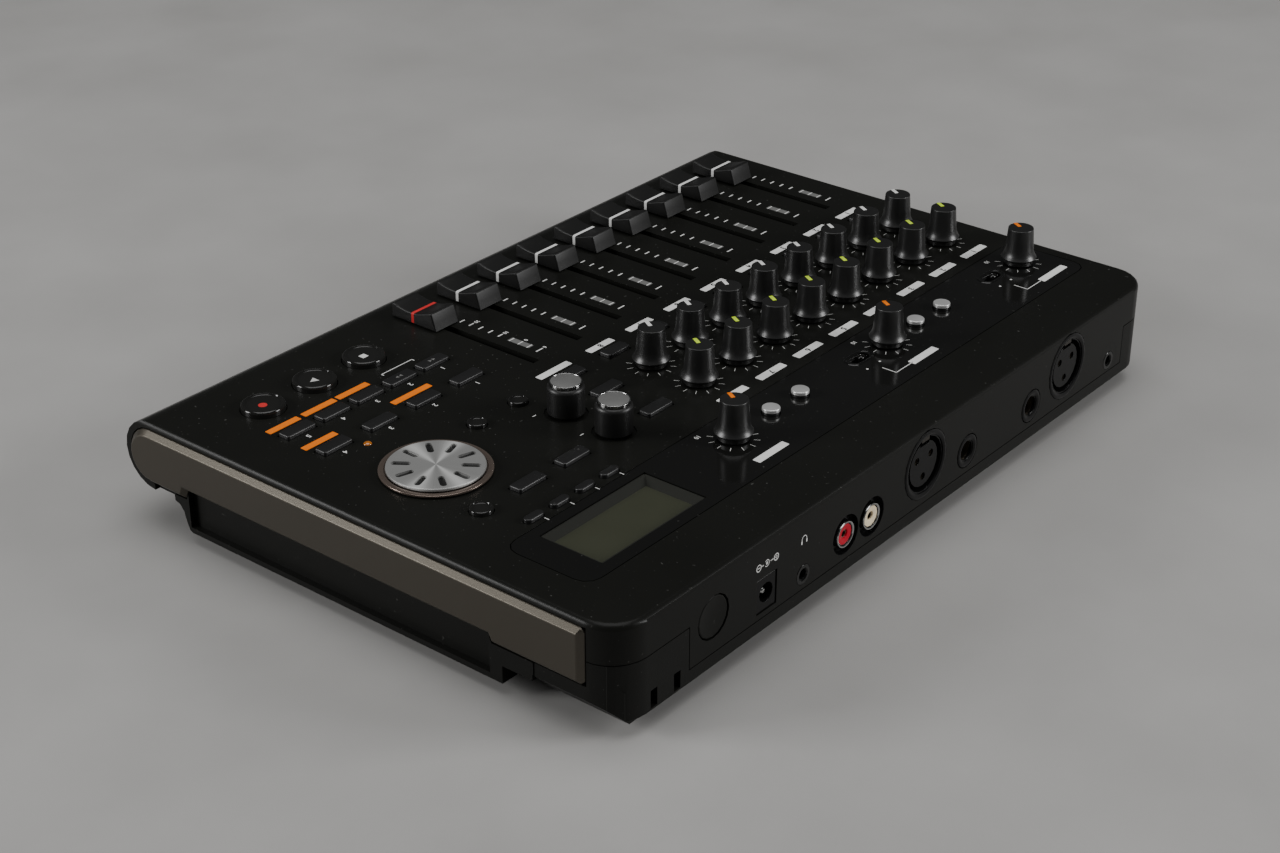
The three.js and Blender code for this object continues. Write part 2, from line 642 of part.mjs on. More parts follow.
// The rear corners turn into the side behind the trims
const CORNER_FRONT_Y = HALF_D - 2 * REAR_CORNER_R;
const trimRelief = (z0) => block(SIDE_FACE_X, HALF_W + OVERRUN, CORNER_FRONT_Y - REAR_CORNER_R,
  TRIM_REAR_Y + GAP, z0, TRIM_TOP_Z + GAP);
const cornerOuter = raised(roundedOutline([
  [SIDE_FACE_X - REAR_CORNER_R, CORNER_FRONT_Y, 0], [CASING_X, CORNER_FRONT_Y, 0],
  [CASING_X, HALF_D, REAR_CORNER_R], [SIDE_FACE_X - REAR_CORNER_R, HALF_D, 0],
], CORNER_STEPS), PART_Z, TRIM_TOP_Z + 2 * GAP);
const cornerInner = raised(roundedOutline([
  [SIDE_FACE_X - REAR_CORNER_R - OVERRUN, CORNER_FRONT_Y - OVERRUN, 0],
  [SIDE_FACE_X - WALL, CORNER_FRONT_Y - OVERRUN, 0],
  [SIDE_FACE_X - WALL, REAR_INNER_Y, REAR_CORNER_R - WALL],
  [SIDE_FACE_X - REAR_CORNER_R - OVERRUN, REAR_INNER_Y, 0],
], CORNER_STEPS), PART_Z - OVERRUN, PLATE_UNDER_Z);
const topCorner = cut(cornerOuter, cornerInner, trimRelief(PART_Z - OVERRUN));

const squareHole = (key) => block(
  key.x - key.long / 2 - GAP, key.x + key.long / 2 + GAP,
  key.y - key.wide / 2 - GAP, key.y + key.wide / 2 + GAP, PLATE_UNDER_Z - OVERRUN, TOP_Z + OVERRUN);
const keyHole = (key) => (key.r * 2 === key.wide
  ? raised(keyOutline(key, GAP), PLATE_UNDER_Z - OVERRUN, TOP_Z + OVERRUN)
  : squareHole(key));
const faderSlot = (x) => block(x - SLOT_WIDTH / 2, x + SLOT_WIDTH / 2,
  FADER_REST_Y - LEVER_LENGTH / 2 - SLOT_PAST_LEVER, FADER_END_Y + LEVER_LENGTH / 2 + SLOT_PAST_LEVER,
  PLATE_UNDER_Z - OVERRUN, TOP_Z + OVERRUN);
const stripHole = (margin, z0, z1) => raised(rectangle(STRIP_LEFT_X - margin, STRIP_RIGHT_X + margin,
  STRIP_FRONT_Y - margin, STRIP_REAR_Y + margin, STRIP_CORNER_R + margin), z0, z1);
const windowHole = (margin, z0, z1) => block(WINDOW_LEFT_X - margin, WINDOW_RIGHT_X + margin,
  WINDOW_FRONT_Y - margin, WINDOW_REAR_Y + margin, z0, z1);
const ROUND_BUTTON_SETS = { output_buttons: OUTPUT_BUTTON_XS, input_buttons: INPUT_BUTTON_XS };
const ALL_ROUND_BUTTON_XS = [...OUTPUT_BUTTON_XS, ...INPUT_BUTTON_XS];
const slotOutline = (x, margin) => rectangle(x - SWITCH_SLOT_LONG / 2 - margin,
  x + SWITCH_SLOT_LONG / 2 + margin, SWITCH_Y - SWITCH_SLOT_WIDE / 2 - margin,
  SWITCH_Y + SWITCH_SLOT_WIDE / 2 + margin, SWITCH_SLOT_WIDE / 2 + margin);

const rearHole = (r, x, z, sides) => bore(r, x, z, REAR_INNER_Y - GAP, HALF_D + OVERRUN, sides);
const xlrHoles = [XLR_A_X, XLR_B_X].map((x) => rearHole(XLR_R + GAP, x, XLR_Z, XLR_SIDES));
const jackHoles = [JACK_A_X, JACK_B_X].map((x) => rearHole(JACK_NOSE_R + GAP, x, JACK_Z, JACK_SIDES));
const PHONO_XS = [PHONO_RIGHT_X, PHONO_RIGHT_X - PHONO_PITCH];
const phonoHoles = PHONO_XS.map((x) => rearHole(PHONO_HOLE_R, x, PHONO_Z, JACK_SIDES));
const miniHoles = [
  rearHole(MINI_JACK_R + GAP, PHONES_JACK_X, PHONES_Z, MINI_JACK_SIDES),
  rearHole(MINI_JACK_R + GAP, REMOTE_X, REMOTE_Z, MINI_JACK_SIDES),
];
const inletHole = block(INLET_X - INLET_WIDE / 2 - GAP, INLET_X + INLET_WIDE / 2 + GAP,
  REAR_INNER_Y - GAP, HALF_D + OVERRUN, INLET_Z - INLET_HIGH / 2 - GAP, INLET_Z + INLET_HIGH / 2 + GAP);
const standbyHole = rearHole(STANDBY_R + GAP, STANDBY_X, STANDBY_Z, JACK_SIDES);

const rearParting = [
  block(REAR_PART_RIGHT_X, HALF_W, REAR_INNER_Y - WALL, HALF_D + OVERRUN, -OVERRUN, PART_Z),
  block(-HALF_W, REAR_PART_LEFT_X, REAR_INNER_Y - WALL, HALF_D + OVERRUN, -OVERRUN, PART_Z),
];
const brow = (side) => sideways(browProfile, side > 0 ? SIDE_FACE_X - WALL : -CASING_X,
  side > 0 ? CASING_X : WALL - SIDE_FACE_X);
let topCasing = join(
  sideways(shellProfile, -SIDE_FACE_X, SIDE_FACE_X), brow(1), brow(-1),
  sidePlate, mirrored(sidePlate), topCorner, mirrored(topCorner));
topCasing = cut(topCasing.intersect(casingPlan), rearParting);
const pillars = BOSS_PLACE_SHARES.map(([x, y]) => post(
  BOSS_R, acrossShare(x), alongShare(y), BOARD_TOP_Z + GAP, PLATE_UNDER_Z + GAP));
topCasing = join(topCasing, pillars);
topCasing = cut(topCasing,
  FADER_XS.map(faderSlot),
  Object.values(KEY_SETS).flat().map(keyHole),
  Object.values(TRANSPORT_KEYS).map((x) => post(TRANSPORT_R + GAP, x, TRANSPORT_Y,
    PLATE_UNDER_Z - OVERRUN, TOP_Z + OVERRUN, TRANSPORT_SIDES)),
  KNOB_PLACES.map(([x, y]) => post(SHAFT_R + KNOB_CLEARANCE, x, y,
    PLATE_UNDER_Z - OVERRUN, TOP_Z + OVERRUN)),
  [EQ_LOW_Y, EQ_HIGH_Y].map((y) => post(EQ_RECESS_R, EQ_X, y, TOP_Z - EQ_RECESS_DEEP,
    TOP_Z + OVERRUN, EQ_SIDES)),
  ALL_ROUND_BUTTON_XS.map((x) => post(ROUND_BUTTON_R + GAP, x, ROUND_BUTTON_Y,
    PLATE_UNDER_Z - OVERRUN, TOP_Z + OVERRUN, ROUND_KEY_SIDES)),
  SWITCH_XS.map((x) => raised(slotOutline(x, 0), PLATE_UNDER_Z - OVERRUN, TOP_Z + OVERRUN)),
  stripHole(GAP, TOP_Z - STRIP_THICK - GAP, TOP_Z + OVERRUN),
  windowHole(0, PLATE_UNDER_Z - OVERRUN, TOP_Z + OVERRUN),
  post(WHEEL_R - WALL, WHEEL_X, WHEEL_Y, PLATE_UNDER_Z - OVERRUN, TOP_Z + OVERRUN, WHEEL_SIDES),
  xlrHoles, jackHoles, phonoHoles, miniHoles, inletHole, standbyHole);
piece('top_casing', topCasing, CASING_FINISH);

// Bottom casing: floor, side walls, front wall under the nose, rear corners and feet
const DECK_CURVE_SHARES = [[0, 1], [0.3, 0.93], [0.55, 0.7], [0.7, 0.3], [0.85, 0.06], [1, 0]];
const deckFace = DECK_CURVE_SHARES.map(([back, up]) => [
  NOSE_LIP_Y + GAP + back * (DECK_FOOT_Y - NOSE_LIP_Y - GAP),
  BASE_Z + up * (NOSE_UNDER_Z - BASE_Z),
]);
const SIDE_TOP_Z = PART_Z - GAP;
const floorProfile = outline([
  [REAR_INNER_Y, REAR_LIP_Z],
  [REAR_INNER_Y - FRONT_CORNER_R, BASE_Z],
  ...deckFace.slice().reverse(),
  [NOSE_LIP_Y + GAP, NOSE_UNDER_Z + WALL],
  [DECK_FRONT_Y + WALL, NOSE_UNDER_Z + WALL],
  [DECK_FRONT_Y + 2 * WALL, BASE_Z + WALL],
  [REAR_INNER_Y, BASE_Z + WALL],
]);
const lowSideProfile = outline([
  [REAR_INNER_Y, SIDE_TOP_Z],
  [REAR_INNER_Y, REAR_LIP_Z],
  [REAR_INNER_Y - FRONT_CORNER_R, BASE_Z],
  ...deckFace.slice().reverse(),
  [NOSE_LIP_Y + GAP, SIDE_TOP_Z],
]);
const lowSide = sideways(lowSideProfile, SIDE_FACE_X - WALL, SIDE_FACE_X);
const skinProfile = outline([
  ...deckFace.slice().reverse(),
  [NOSE_LIP_Y + GAP, NOSE_Z - TRIM_NOSE_R - GAP],
  [POCKET_FRONT_Y - POCKET_STEP + GAP, NOSE_Z - TRIM_NOSE_R - GAP],
  [POCKET_FRONT_Y + GAP, TRIM_LOW_Z - GAP],
  [POCKET_REAR_Y - GAP, TRIM_LOW_Z - GAP],
  [POCKET_REAR_Y + POCKET_STEP - GAP, TRIM_REAR_LOW_Z - GAP],
  [NOTCH_REAR_Y + GAP, TRIM_REAR_LOW_Z - GAP],
  [NOTCH_REAR_Y + GAP, BASE_Z],
]);
const pocket = block(SIDE_FACE_X, HALF_W + OVERRUN, POCKET_FRONT_Y, POCKET_REAR_Y,
  POCKET_LOW_Z, TOP_Z);
const rim = cut(sideways(skinProfile, SIDE_FACE_X - WALL, RIM_X), pocket);
const lowCornerOuter = raised(roundedOutline([
  [SIDE_FACE_X - REAR_CORNER_R, NOTCH_REAR_Y, 0], [CASING_X, NOTCH_REAR_Y, 0],
  [CASING_X, HALF_D, REAR_CORNER_R], [REAR_PART_RIGHT_X + GAP, HALF_D, 0],
  [REAR_PART_RIGHT_X + GAP, REAR_INNER_Y, 0], [SIDE_FACE_X - REAR_CORNER_R, REAR_INNER_Y, 0],
], CORNER_STEPS), REAR_LIP_Z, SIDE_TOP_Z);
const lowCornerInner = raised(roundedOutline([
  [SIDE_FACE_X - REAR_CORNER_R - OVERRUN, NOTCH_REAR_Y - OVERRUN, 0],
  [SIDE_FACE_X - WALL, NOTCH_REAR_Y - OVERRUN, 0],
  [SIDE_FACE_X - WALL, REAR_INNER_Y, REAR_CORNER_R - WALL],
  [SIDE_FACE_X - REAR_CORNER_R - OVERRUN, REAR_INNER_Y, 0],
], CORNER_STEPS), BASE_Z + WALL, PART_Z + OVERRUN);
const lowCorner = cut(lowCornerOuter, lowCornerInner, trimRelief(TRIM_REAR_LOW_Z - GAP));
const chamferTop = BASE_Z + CORNER_CHAMFER_HIGH;
const chamferFoot = CASING_X - CORNER_CHAMFER_WIDE;
const cornerChamfer = lengthways(outline([
  [chamferFoot - OVERRUN, BASE_Z - OVERRUN * (CORNER_CHAMFER_HIGH / CORNER_CHAMFER_WIDE)],
  [CASING_X + OVERRUN, BASE_Z - OVERRUN * (CORNER_CHAMFER_HIGH / CORNER_CHAMFER_WIDE)],
  [CASING_X + OVERRUN, chamferTop + OVERRUN * (CORNER_CHAMFER_HIGH / CORNER_CHAMFER_WIDE)],
]), NOTCH_REAR_Y, HALF_D + OVERRUN);
const chamferWall = lengthways(outline([
  [chamferFoot - 2 * WALL, BASE_Z], [SIDE_FACE_X, BASE_Z], [SIDE_FACE_X, chamferTop + 2 * WALL],
  [SIDE_FACE_X - WALL, chamferTop + 2 * WALL], [chamferFoot - 2 * WALL, BASE_Z + WALL],
]), NOTCH_REAR_Y, REAR_INNER_Y + GAP);
const lowCornerLeft = cut(
  mirrored(lowCorner),
  block(REAR_PART_LEFT_X - GAP, 0, REAR_INNER_Y, HALF_D + OVERRUN, -OVERRUN, TOP_Z));
const notch = block(SIDE_FACE_X - WALL - OVERRUN, HALF_W + OVERRUN, RIM_REAR_Y, NOTCH_REAR_Y,
  BASE_Z - OVERRUN, NOTCH_TOP_Z);
const rearLip = block(REAR_PART_LEFT_X - OVERRUN, REAR_PART_RIGHT_X + OVERRUN,
  REAR_INNER_Y - WALL, HALF_D, REAR_LIP_Z, REAR_WALL_FOOT_Z - GAP);
const ventHole = (x) => block(x - VENT_WIDE / 2, x + VENT_WIDE / 2, REAR_INNER_Y - OVERRUN,
  HALF_D + OVERRUN, BASE_Z + WALL, VENT_TOP_Z);
const footPlaces = [-FOOT_X, FOOT_X].flatMap((x) => [FOOT_FRONT_Y, FOOT_REAR_Y].map((y) => [x, y]));
const feet = footPlaces.map(([x, y]) => post(FOOT_R, x, y, 0, BASE_Z + GAP, FOOT_SIDES));
const jackPosts = POST_XS.map((x) => post(
  POST_R, x, POST_Y, BASE_Z + GAP, JACK_BOARD_Z - GAP));
const cardSlot = block(CARD_X - CARD_SLOT_WIDE / 2, CARD_X + CARD_SLOT_WIDE / 2,
  NOSE_LIP_Y - OVERRUN, DECK_FOOT_Y + OVERRUN, CARD_Z - CARD_SLOT_HIGH / 2,
  CARD_Z + CARD_SLOT_HIGH / 2);
const wells = WELL_XS.flatMap((x) => WELL_YS.map((y) => post(
  WELL_R, x, y, BASE_Z - OVERRUN, BASE_Z + WELL_DEEP)));
let bottomCasing = join(
  sideways(floorProfile, -SIDE_FACE_X, SIDE_FACE_X), lowSide, mirrored(lowSide),
  rim, mirrored(rim), lowCorner, lowCornerLeft, rearLip,
  chamferWall, mirrored(chamferWall));
bottomCasing = cut(bottomCasing.intersect(raised(planOutline(RIM_X), -OVERRUN, TOP_Z)), notch,
  mirrored(notch), cornerChamfer, mirrored(cornerChamfer),
  VENT_XS.map(ventHole), cardSlot, wells);
bottomCasing = join(bottomCasing, feet, jackPosts);
piece('bottom_casing', bottomCasing, DECK_FINISH);

// Side trims
const trimProfile = outline([
  [TRIM_REAR_Y - TRIM_CORNER, TRIM_REAR_LOW_Z],
  [TRIM_REAR_Y, TRIM_REAR_LOW_Z + TRIM_CORNER],
  [TRIM_REAR_Y, TRIM_TOP_Z - TRIM_CORNER],
  [TRIM_REAR_Y - TRIM_CORNER, TRIM_TOP_Z],
  ...arc(NOSE_Y, NOSE_Z, TRIM_NOSE_R, 90, 270, NOSE_STEPS),
  [POCKET_FRONT_Y - POCKET_STEP, NOSE_Z - TRIM_NOSE_R],
  [POCKET_FRONT_Y, TRIM_LOW_Z],
  [POCKET_REAR_Y, TRIM_LOW_Z],
  [POCKET_REAR_Y + POCKET_STEP, TRIM_REAR_LOW_Z],
]);
const trim = sideways(trimProfile, HALF_W - TRIM_THICK, HALF_W, TRIM_CHAMFER);
piece('side_trim_right', trim, TRIM_FINISH);
piece('side_trim_left', mirrored(trim), TRIM_FINISH);

// Control strip and display
const strip = cut(stripHole(0, TOP_Z - STRIP_THICK, TOP_Z),
  windowHole(0, 0, TOP_Z + OVERRUN),
  KNOB_PLACES.map(([x, y]) => post(SHAFT_R + KNOB_CLEARANCE, x, y, 0, TOP_Z + OVERRUN)),
  ALL_ROUND_BUTTON_XS.map((x) => post(ROUND_BUTTON_R + GAP, x, ROUND_BUTTON_Y,
    0, TOP_Z + OVERRUN, ROUND_KEY_SIDES)),
  SWITCH_XS.map((x) => raised(slotOutline(x, 0), 0, TOP_Z + OVERRUN)));
piece('control_strip', strip, GLOSS_FINISH);
const display = join(
  windowHole(LCD_FRAME, BOARD_TOP_Z + GAP, PLATE_UNDER_Z - GAP),
  windowHole(-GAP, BOARD_TOP_Z + GAP, TOP_Z - LCD_GLASS_DROP));
piece('display_module', display, DISPLAY_FINISH);

// Faders: the side of a cap, as shares of its half length and of its height over its foot
const CAP_SIDE_SHARES = [
  [-0.93, 0], [-0.9, 0.72], [-0.84, 0.85], [-0.7, 0.78], [-0.45, 0.7], [-0.15, 0.65], [0.05, 0.65],
  [0.2, 0.7], [0.4, 0.81], [0.6, 0.92], [0.74, 1], [0.8, 0.98], [0.83, 0.93], [1, 0],
];
const CAP_MARKER_SHARE = 0.65;
function faderCap(x) {
  const bottom = TOP_Z + CAP_CLEARANCE;
  const high = CAP_RIDGE_HIGH - CAP_CLEARANCE;
  const side = outline(CAP_SIDE_SHARES.map(([back, up]) => [
    FADER_REST_Y + (back * CAP_LENGTH) / 2,
    bottom + up * high,
  ]));
  const shell = sideways(side, x - CAP_WIDTH / 2, x + CAP_WIDTH / 2);
  const groove = block(x - CAP_WIDTH, x + CAP_WIDTH, FADER_REST_Y - MARKER_WIDE / 2,
    FADER_REST_Y + MARKER_WIDE / 2, bottom + high * CAP_MARKER_SHARE - MARKER_DEEP,
    TOP_Z + KNOB_HIGH);
  const lever = block(x - LEVER_WIDTH / 2, x + LEVER_WIDTH / 2, FADER_REST_Y - LEVER_LENGTH / 2,
    FADER_REST_Y + LEVER_LENGTH / 2, FADER_SLOT_Z + GAP, bottom + GAP);
  return join(cut(shell, groove), lever);
}
FADER_XS.forEach((x, i) => {
  const name = i < TRACK_COUNT ? `fader_cap_track_${i + 1}` : 'fader_cap_master';
  piece(name, faderCap(x), KNOB_FINISH, [x, FADER_REST_Y, TOP_Z]);
});

// Level knobs: a tall cap with a flared foot, on a shaft that reaches into its potentiometer
function levelKnob(x, y) {
  const foot = TOP_Z + KNOB_CLEARANCE;
  const top = TOP_Z + KNOB_HIGH;
  const high = top - foot;
  const cap = turned([
    [0, SHAFT_FOOT_Z], [SHAFT_R, SHAFT_FOOT_Z], [SHAFT_R, foot], [KNOB_HUB_R, foot],
    [KNOB_FLARE_R, foot + high * KNOB_SKIRT_SHARE],
    [(KNOB_FLARE_R + KNOB_WAIST_R) / 2, foot + high * KNOB_FLARE_SHARE],
    [KNOB_WAIST_R, foot + high * KNOB_WAIST_SHARE],
    [KNOB_TOP_R, top], [0, top],
  ], x, y, KNOB_SIDES);
  const pointer = block(-POINTER_WIDE / 2, POINTER_WIDE / 2, -KNOB_FLARE_R,
    -KNOB_TOP_R * POINTER_START_SHARE, top - MARKER_DEEP, top + OVERRUN);
  const turn = KNOB_REST_DEG;
  return cut(cap, pointer.rotate([0, 0, turn]).translate([x, y, 0]));
}
TRACK_XS.forEach((x, i) => {
  piece(`pan_knob_${i + 1}`, levelKnob(x, PAN_Y), KNOB_FINISH, [x, PAN_Y, TOP_Z]);
});
TRACK_XS.forEach((x, i) => {
  piece(`reverb_knob_${i + 1}`, levelKnob(x, REVERB_Y), KNOB_FINISH, [x, REVERB_Y, TOP_Z]);
});
const STRIP_KNOBS = {
  phones_level_knob: PHONES_X, input_b_level_knob: INPUT_B_X, input_a_level_knob: INPUT_A_X,
};
Object.entries(STRIP_KNOBS).forEach(([name, x]) => {
  piece(name, levelKnob(x, STRIP_KNOB_Y), KNOB_FINISH, [x, STRIP_KNOB_Y, TOP_Z]);
});

// Equaliser knobs: a drum with a dished metal cap
function eqKnob(x, y) {
  const foot = TOP_Z + KNOB_CLEARANCE;
  const top = TOP_Z + EQ_HIGH;
  return turned([
    [0, SHAFT_FOOT_Z], [SHAFT_R, SHAFT_FOOT_Z], [SHAFT_R, foot], [EQ_BODY_R, foot],
    [EQ_BODY_R, top - EQ_SHOULDER], [EQ_CAP_R, top - EQ_CAP_HIGH], [EQ_CAP_R, top - KNOB_EDGE],
    [EQ_CAP_R - KNOB_EDGE, top], [EQ_CAP_R - EQ_RIM, top], [EQ_CAP_R - EQ_RIM, top - MARKER_DEEP],
    [0, top - MARKER_DEEP],
  ], x, y, EQ_SIDES);
}
piece('eq_low_knob', eqKnob(EQ_X, EQ_LOW_Y), KNOB_FINISH, [EQ_X, EQ_LOW_Y, TOP_Z]);
piece('eq_high_knob', eqKnob(EQ_X, EQ_HIGH_Y), KNOB_FINISH, [EQ_X, EQ_HIGH_Y, TOP_Z]);

// Data wheel with ten finger slots
const wheelTurned = turned([
  [0, WHEEL_SHAFT_FOOT_Z], [WHEEL_SHAFT_R, WHEEL_SHAFT_FOOT_Z], [WHEEL_SHAFT_R, TOP_Z],
  [WHEEL_SHAFT_R, TOP_Z + KNOB_CLEARANCE], [WHEEL_R, TOP_Z + KNOB_CLEARANCE],
  [WHEEL_R, TOP_Z + WHEEL_HIGH - WHEEL_EDGE], [WHEEL_R - WHEEL_EDGE, TOP_Z + WHEEL_HIGH],
  [WHEEL_DISC_R, TOP_Z + WHEEL_HIGH], [WHEEL_DISC_R - WHEEL_STEP, TOP_Z + WHEEL_HIGH - WHEEL_STEP],
  [0, TOP_Z + WHEEL_HIGH - WHEEL_STEP],
], WHEEL_X, WHEEL_Y, WHEEL_SIDES);
const wheelSlot = raised(rectangle(WHEEL_SLOT_R - WHEEL_SLOT_LONG / 2,
  WHEEL_SLOT_R + WHEEL_SLOT_LONG / 2, -WHEEL_SLOT_WIDE / 2, WHEEL_SLOT_WIDE / 2,
  WHEEL_SLOT_WIDE * SLOT_END_SHARE, 1), TOP_Z + WHEEL_HIGH - WHEEL_STEP - WHEEL_SLOT_DEEP,
TOP_Z + OVERRUN);
const wheelSlots = range(WHEEL_SLOTS).map((i) => wheelSlot
  .rotate([0, 0, ((i + 1 / 2) * 360) / WHEEL_SLOTS]).translate([WHEEL_X, WHEEL_Y, 0]));
piece('data_wheel', cut(wheelTurned, wheelSlots), SILVER_FINISH, [WHEEL_X, WHEEL_Y, TOP_Z]);

// Transport buttons: wide polished domes on a flange under the panel
Object.entries(TRANSPORT_KEYS).forEach(([name, x]) => {
  const button = turned([
    [0, KEY_UNDER_Z], [TRANSPORT_R + FLANGE, KEY_UNDER_Z],
    [TRANSPORT_R + FLANGE, KEY_UNDER_Z + FLANGE_THICK], [TRANSPORT_R, KEY_UNDER_Z + FLANGE_THICK],
    [TRANSPORT_R, TOP_Z + TRANSPORT_HIGH * DOME_LOW_SHARE],
    [TRANSPORT_R * DOME_RIM_SHARE, TOP_Z + TRANSPORT_HIGH * DOME_MID_SHARE],
    [TRANSPORT_R * DOME_CROWN_SHARE, TOP_Z + TRANSPORT_HIGH],
    [0, TOP_Z + TRANSPORT_HIGH],
  ], x, TRANSPORT_Y, TRANSPORT_SIDES);
  piece(name, button, KEY_FINISH, [x, TRANSPORT_Y, TOP_Z]);
});

// Key sets
Object.entries(KEY_SETS).forEach(([name, keys]) => {
  piece(name, keySet(keys), KEY_FINISH, [keys[0].x, keys[0].y, TOP_Z]);
});

// Silver push buttons on the control strip, in pairs on a common carrier
Object.entries(ROUND_BUTTON_SETS).forEach(([name, xs]) => {
  const buttons = xs.map((x) => turned([
    [0, KEY_UNDER_Z], [ROUND_BUTTON_R, KEY_UNDER_Z],
    [ROUND_BUTTON_R, TOP_Z + ROUND_BUTTON_HIGH * DOME_MID_SHARE],
    [ROUND_BUTTON_R * BUTTON_CROWN_SHARE, TOP_Z + ROUND_BUTTON_HIGH],
    [0, TOP_Z + ROUND_BUTTON_HIGH],
  ], x, ROUND_BUTTON_Y, ROUND_KEY_SIDES));
  const reach = ROUND_BUTTON_R + FLANGE;
  const carrier = block(Math.min(...xs) - reach, Math.max(...xs) + reach, ROUND_BUTTON_Y - reach,
    ROUND_BUTTON_Y + reach, KEY_UNDER_Z, KEY_UNDER_Z + FLANGE_THICK);
  piece(name, join(buttons, carrier), SILVER_FINISH, [xs[0], ROUND_BUTTON_Y, TOP_Z]);
});

// Slide switches: a lever on a wide shutter that rides on the switch body
['input_b_phase_switch', 'input_a_phase_switch'].forEach((name, i) => {
  const x = SWITCH_XS[i] - SWITCH_TRAVEL / 2;
  const lever = raised(rectangle(x - SWITCH_LEVER_LONG / 2, x + SWITCH_LEVER_LONG / 2,
    SWITCH_Y - SWITCH_LEVER_WIDE / 2, SWITCH_Y + SWITCH_LEVER_WIDE / 2,
    SWITCH_LEVER_WIDE * SLOT_END_SHARE), SHUTTER_Z, TOP_Z + SWITCH_LEVER_HIGH, KEY_EDGE);
  const shutter = block(x - SWITCH_SLOT_LONG / 2 - SWITCH_TRAVEL / 2,
    x + SWITCH_SLOT_LONG / 2 + SWITCH_TRAVEL / 2,
    SWITCH_Y - SWITCH_SLOT_WIDE / 2 - FLANGE, SWITCH_Y + SWITCH_SLOT_WIDE / 2 + FLANGE,
    SHUTTER_Z, SHUTTER_Z + FLANGE_THICK);
  piece(name, join(lever, shutter), SILVER_FINISH, [x, SWITCH_Y, TOP_Z]);
});

// Panel board with its potentiometers, encoders, fader tracks and key switches
const board = block(-PANEL_BOARD_SIDE_X, PANEL_BOARD_SIDE_X, PANEL_BOARD_FRONT_Y,
  PANEL_BOARD_REAR_Y, PANEL_BOARD_Z, BOARD_TOP_Z);
const pots = KNOB_PLACES.flatMap(([x, y]) => [
  block(x - POT_SIZE / 2, x + POT_SIZE / 2, y - POT_SIZE / 2, y + POT_SIZE / 2,
    PANEL_BOARD_Z, POT_TOP_Z),
  post(BUSH_R, x, y, PANEL_BOARD_Z, BUSH_TOP_Z),
]);
const potHoles = KNOB_PLACES.map(([x, y]) => post(SHAFT_R + GAP, x, y,
  SHAFT_FOOT_Z - GAP, TOP_Z));
const wheelEncoder = post(WHEEL_SHAFT_R + POT_WALL, WHEEL_X, WHEEL_Y, PANEL_BOARD_Z, BUSH_TOP_Z,
  EQ_SIDES);
const wheelBore = post(WHEEL_SHAFT_R + GAP, WHEEL_X, WHEEL_Y, WHEEL_SHAFT_FOOT_Z - GAP, TOP_Z,
  WHEEL_SIDES);
const faderTracks = FADER_XS.map((x) => block(x - FADER_BODY_WIDTH / 2, x + FADER_BODY_WIDTH / 2,
  FADER_REST_Y - FADER_BODY_OVER, FADER_END_Y + FADER_BODY_OVER, PANEL_BOARD_Z,
  PLATE_UNDER_Z - GAP));
const faderGrooves = FADER_XS.map((x) => block(x - SLOT_WIDTH / 2, x + SLOT_WIDTH / 2,
  FADER_REST_Y - LEVER_LENGTH / 2 - SLOT_PAST_LEVER,
  FADER_END_Y + LEVER_LENGTH / 2 + SLOT_PAST_LEVER, FADER_SLOT_Z, TOP_Z));
const keySwitches = Object.values(KEY_SETS).flat().map((key) => block(
  key.x - SWITCH_BLOCK / 2, key.x + SWITCH_BLOCK / 2, key.y - SWITCH_BLOCK / 2,
  key.y + SWITCH_BLOCK / 2, PANEL_BOARD_Z, KEY_SWITCH_Z));
const transportSwitches = Object.values(TRANSPORT_KEYS).map((x) => block(
  x - SWITCH_BLOCK / 2, x + SWITCH_BLOCK / 2, TRANSPORT_Y - SWITCH_BLOCK / 2,
  TRANSPORT_Y + SWITCH_BLOCK / 2, PANEL_BOARD_Z, TRANSPORT_SWITCH_Z));
const buttonSwitches = ALL_ROUND_BUTTON_XS.map((x) => block(
  x - SWITCH_BLOCK / 2, x + SWITCH_BLOCK / 2, ROUND_BUTTON_Y - SWITCH_BLOCK / 2,
  ROUND_BUTTON_Y + SWITCH_BLOCK / 2, PANEL_BOARD_Z, KEY_SWITCH_Z));
const slideBodies = SWITCH_XS.map((x) => block(
  x - SWITCH_SLOT_LONG / 2, x + SWITCH_SLOT_LONG / 2, SWITCH_Y - SWITCH_SLOT_WIDE / 2,
  SWITCH_Y + SWITCH_SLOT_WIDE / 2, PANEL_BOARD_Z, SHUTTER_Z - GAP));
const panelBoard = cut(
  join(board, pots, wheelEncoder, faderTracks, keySwitches, transportSwitches, buttonSwitches,
    slideBodies), potHoles, wheelBore, faderGrooves);
piece('panel_board', panelBoard, BOARD_FINISH);

